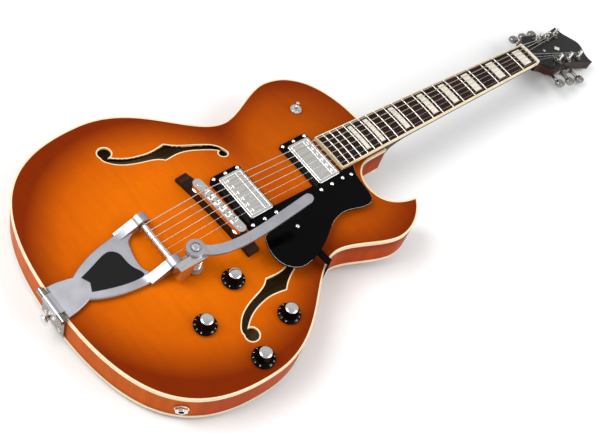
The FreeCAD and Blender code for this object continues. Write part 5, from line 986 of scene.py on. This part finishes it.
class GUITAR_OT_controls(bpy.types.Operator):
    """Dress the knobs with ribs, caps and dial figures, and the switch and jack"""
    bl_idname = "guitar.controls"
    bl_label = "Dress controls"

    def execute(self, context):
        looks = context.scene.guitar_looks
        lean = Matrix.Rotation(math.radians(FIGURE_LEAN), 4, "Y")
        upright = Matrix.Rotation(math.radians(90), 4, "Z")
        seat = Matrix.Translation((FIGURE_RADIUS, 0, FIGURE_HEIGHT)) @ lean @ upright
        for name in KNOBS:
            dressed(name + "_knob", "polished_black_plastic", round_mm=0.25)
            joint = joints[name + "_turn"]
            place = axes_place(Vector(joint["pos_m"]), joint["axis"], -ACROSS)
            bars = {"Count": looks.knob_ribs, "Radius": RIB_RADIUS, "Bar Size": RIB_BAR,
                    "Tilt": math.radians(RIB_TILT), "Start": 0.0, "Sweep": FULL_TURN,
                    "Material": finish("polished_black_plastic")}
            ribs = grown(ring_of_bars(), bars, place @ Matrix.Translation((0, 0, RIB_HEIGHT)))
            carried(name + "_ribs", name, ribs, "black_gloss")
            cap = lathe([(radius * MM, height * MM) for radius, height in CAP_OUTLINE])
            cap.transform(place)
            carried(name + "_cap", name, cap, "chrome", "chrome_plate")
            figures = []
            for number in range(FIGURE_COUNT):
                spin = Matrix.Rotation(math.radians(FIRST_FIGURE + FIGURE_STEP * number), 4, "Z")
                figures.append(lettering(str(number), looks.figure_size, place @ spin @ seat))
            carried(name + "_figures", name, joined(figures), "black_gloss", "white_filler_paint")
        dressed("inner_controls", "bright_steel")
        dressed("panel_nuts", "chrome_plate", round_mm=0.2)
        dressed("switch_lever", "chrome_plate", angle=50)
        dressed("output_jack", "chrome_plate", angle=40)
        return {"FINISHED"}


class GUITAR_OT_tuners(bpy.types.Operator):
    """Dress the tuner posts, buttons and housings"""
    bl_idname = "guitar.tuners"
    bl_label = "Dress tuners"

    def execute(self, context):
        for number in range(1, TUNERS + 1):
            dressed(f"tuner_post_{number}", "chrome_plate", angle=40)
            # The tuner buttons and housings take the chrome painted darker, as painted shade of their dark
            # reflections.
            dressed(f"tuner_knob_{number}", "smoked_chrome", round_mm=0.4, angle=50)
        dressed("tuner_housings", "smoked_chrome", round_mm=0.3)
        return {"FINISHED"}


class GUITAR_OT_screws(bpy.types.Operator):
    """Dress the small screws"""
    bl_idname = "guitar.screws"
    bl_label = "Dress screws"

    def execute(self, context):
        dressed("small_screws", "chrome_plate")
        return {"FINISHED"}


def pale_floor():
    """A wide pale floor, faintly uneven in tone."""
    skin = bmesh.new()
    bmesh.ops.create_grid(skin, x_segments=1, y_segments=1, size=FLOOR_SIZE)
    mesh = bpy.data.meshes.new("pale_floor")
    skin.to_mesh(mesh)
    skin.free()
    made, tree, shader, place = material("pale_studio_floor", Roughness=0.9)
    cloud = noise(tree, stretched(tree, place, 2, 2, 2))
    coloured(tree, shader, ramp(tree, cloud, (0.3, grey(0.93)), (0.7, grey(0.95))))
    mesh.materials.append(made)
    return new_object("pale_floor", mesh)


def studio_sky(scene):
    """A plain sky, a little darker straight above."""
    world = scene.world or bpy.data.worlds.new("studio")
    scene.world = world
    world.use_nodes = True
    tree = world.node_tree
    tree.nodes.clear()
    way = add(tree, "ShaderNodeTexCoord").outputs["Generated"]
    height = add(tree, "ShaderNodeSeparateXYZ", None, Vector=way).outputs["Z"]
    sky = ramp(tree, height, (0.0, grey(0.6)), (0.5, grey(0.62)), (0.85, grey(0.62)), (1.0, grey(0.5)))
    soft = add(tree, "ShaderNodeBackground", None, Color=sky, Strength=1.0).outputs[0]
    add(tree, "ShaderNodeOutputWorld", None, Surface=soft)


class GUITAR_OT_stage(bpy.types.Operator):
    """Build the floor, the soft lights and the camera"""
    bl_idname = "guitar.stage"
    bl_label = "Build stage"

    def execute(self, context):
        scene = context.scene
        scene.view_settings.view_transform = "Standard"
        pale_floor()
        studio_sky(scene)
        for name, spot, size, watts in LAMPS:
            lamp = bpy.data.lights.new(name, "AREA")
            lamp.size = size
            lamp.energy = watts
            holder = new_object(name, lamp)
            holder.location = spot
            aim = LAMP_TARGET - Vector(spot)
            holder.rotation_euler = aim.to_track_quat("-Z", "Y").to_euler()
        camera = new_object("camera", bpy.data.cameras.new("camera"))
        camera.data.lens = CAMERA_LENS
        camera.data.sensor_width = CAMERA_SENSOR
        camera.data.sensor_fit = "HORIZONTAL"
        camera.location = CAMERA_PLACE
        camera.rotation_euler = [math.radians(a) for a in CAMERA_TURN]
        scene.camera = camera
        return {"FINISHED"}


class GUITAR_PT_panel(bpy.types.Panel):
    """Lists the steps that dress the guitar"""
    bl_idname = "GUITAR_PT_panel"
    bl_label = "Archtop guitar"
    bl_space_type = "VIEW_3D"
    bl_region_type = "UI"
    bl_category = "Guitar"

    def draw(self, context):
        looks = context.scene.guitar_looks
        for name in looks.bl_rna.properties.keys():
            if name not in ("rna_type", "name"):
                self.layout.prop(looks, name)
        for step in STEPS:
            self.layout.operator(step.bl_idname)


STEPS = (GUITAR_OT_body, GUITAR_OT_neck, GUITAR_OT_strings, GUITAR_OT_bridge, GUITAR_OT_pickups,
         GUITAR_OT_pickguard, GUITAR_OT_vibrato, GUITAR_OT_controls, GUITAR_OT_tuners, GUITAR_OT_screws,
         GUITAR_OT_stage)
CLASSES = (GuitarLooks, *STEPS, GUITAR_PT_panel)


def register():
    """Makes the steps, the panel and the owner's settings known to Blender."""
    for made in CLASSES:
        bpy.utils.register_class(made)
    bpy.types.Scene.guitar_looks = PointerProperty(type=GuitarLooks)


def unregister():
    """Takes the steps, the panel and the settings away again."""
    del bpy.types.Scene.guitar_looks
    for made in reversed(CLASSES):
        bpy.utils.unregister_class(made)


def main():
    """Runs every step in turn."""
    register()
    for step in STEPS:
        getattr(bpy.ops.guitar, step.bl_idname.split(".")[1])()


if __name__ == "__main__":
    main()
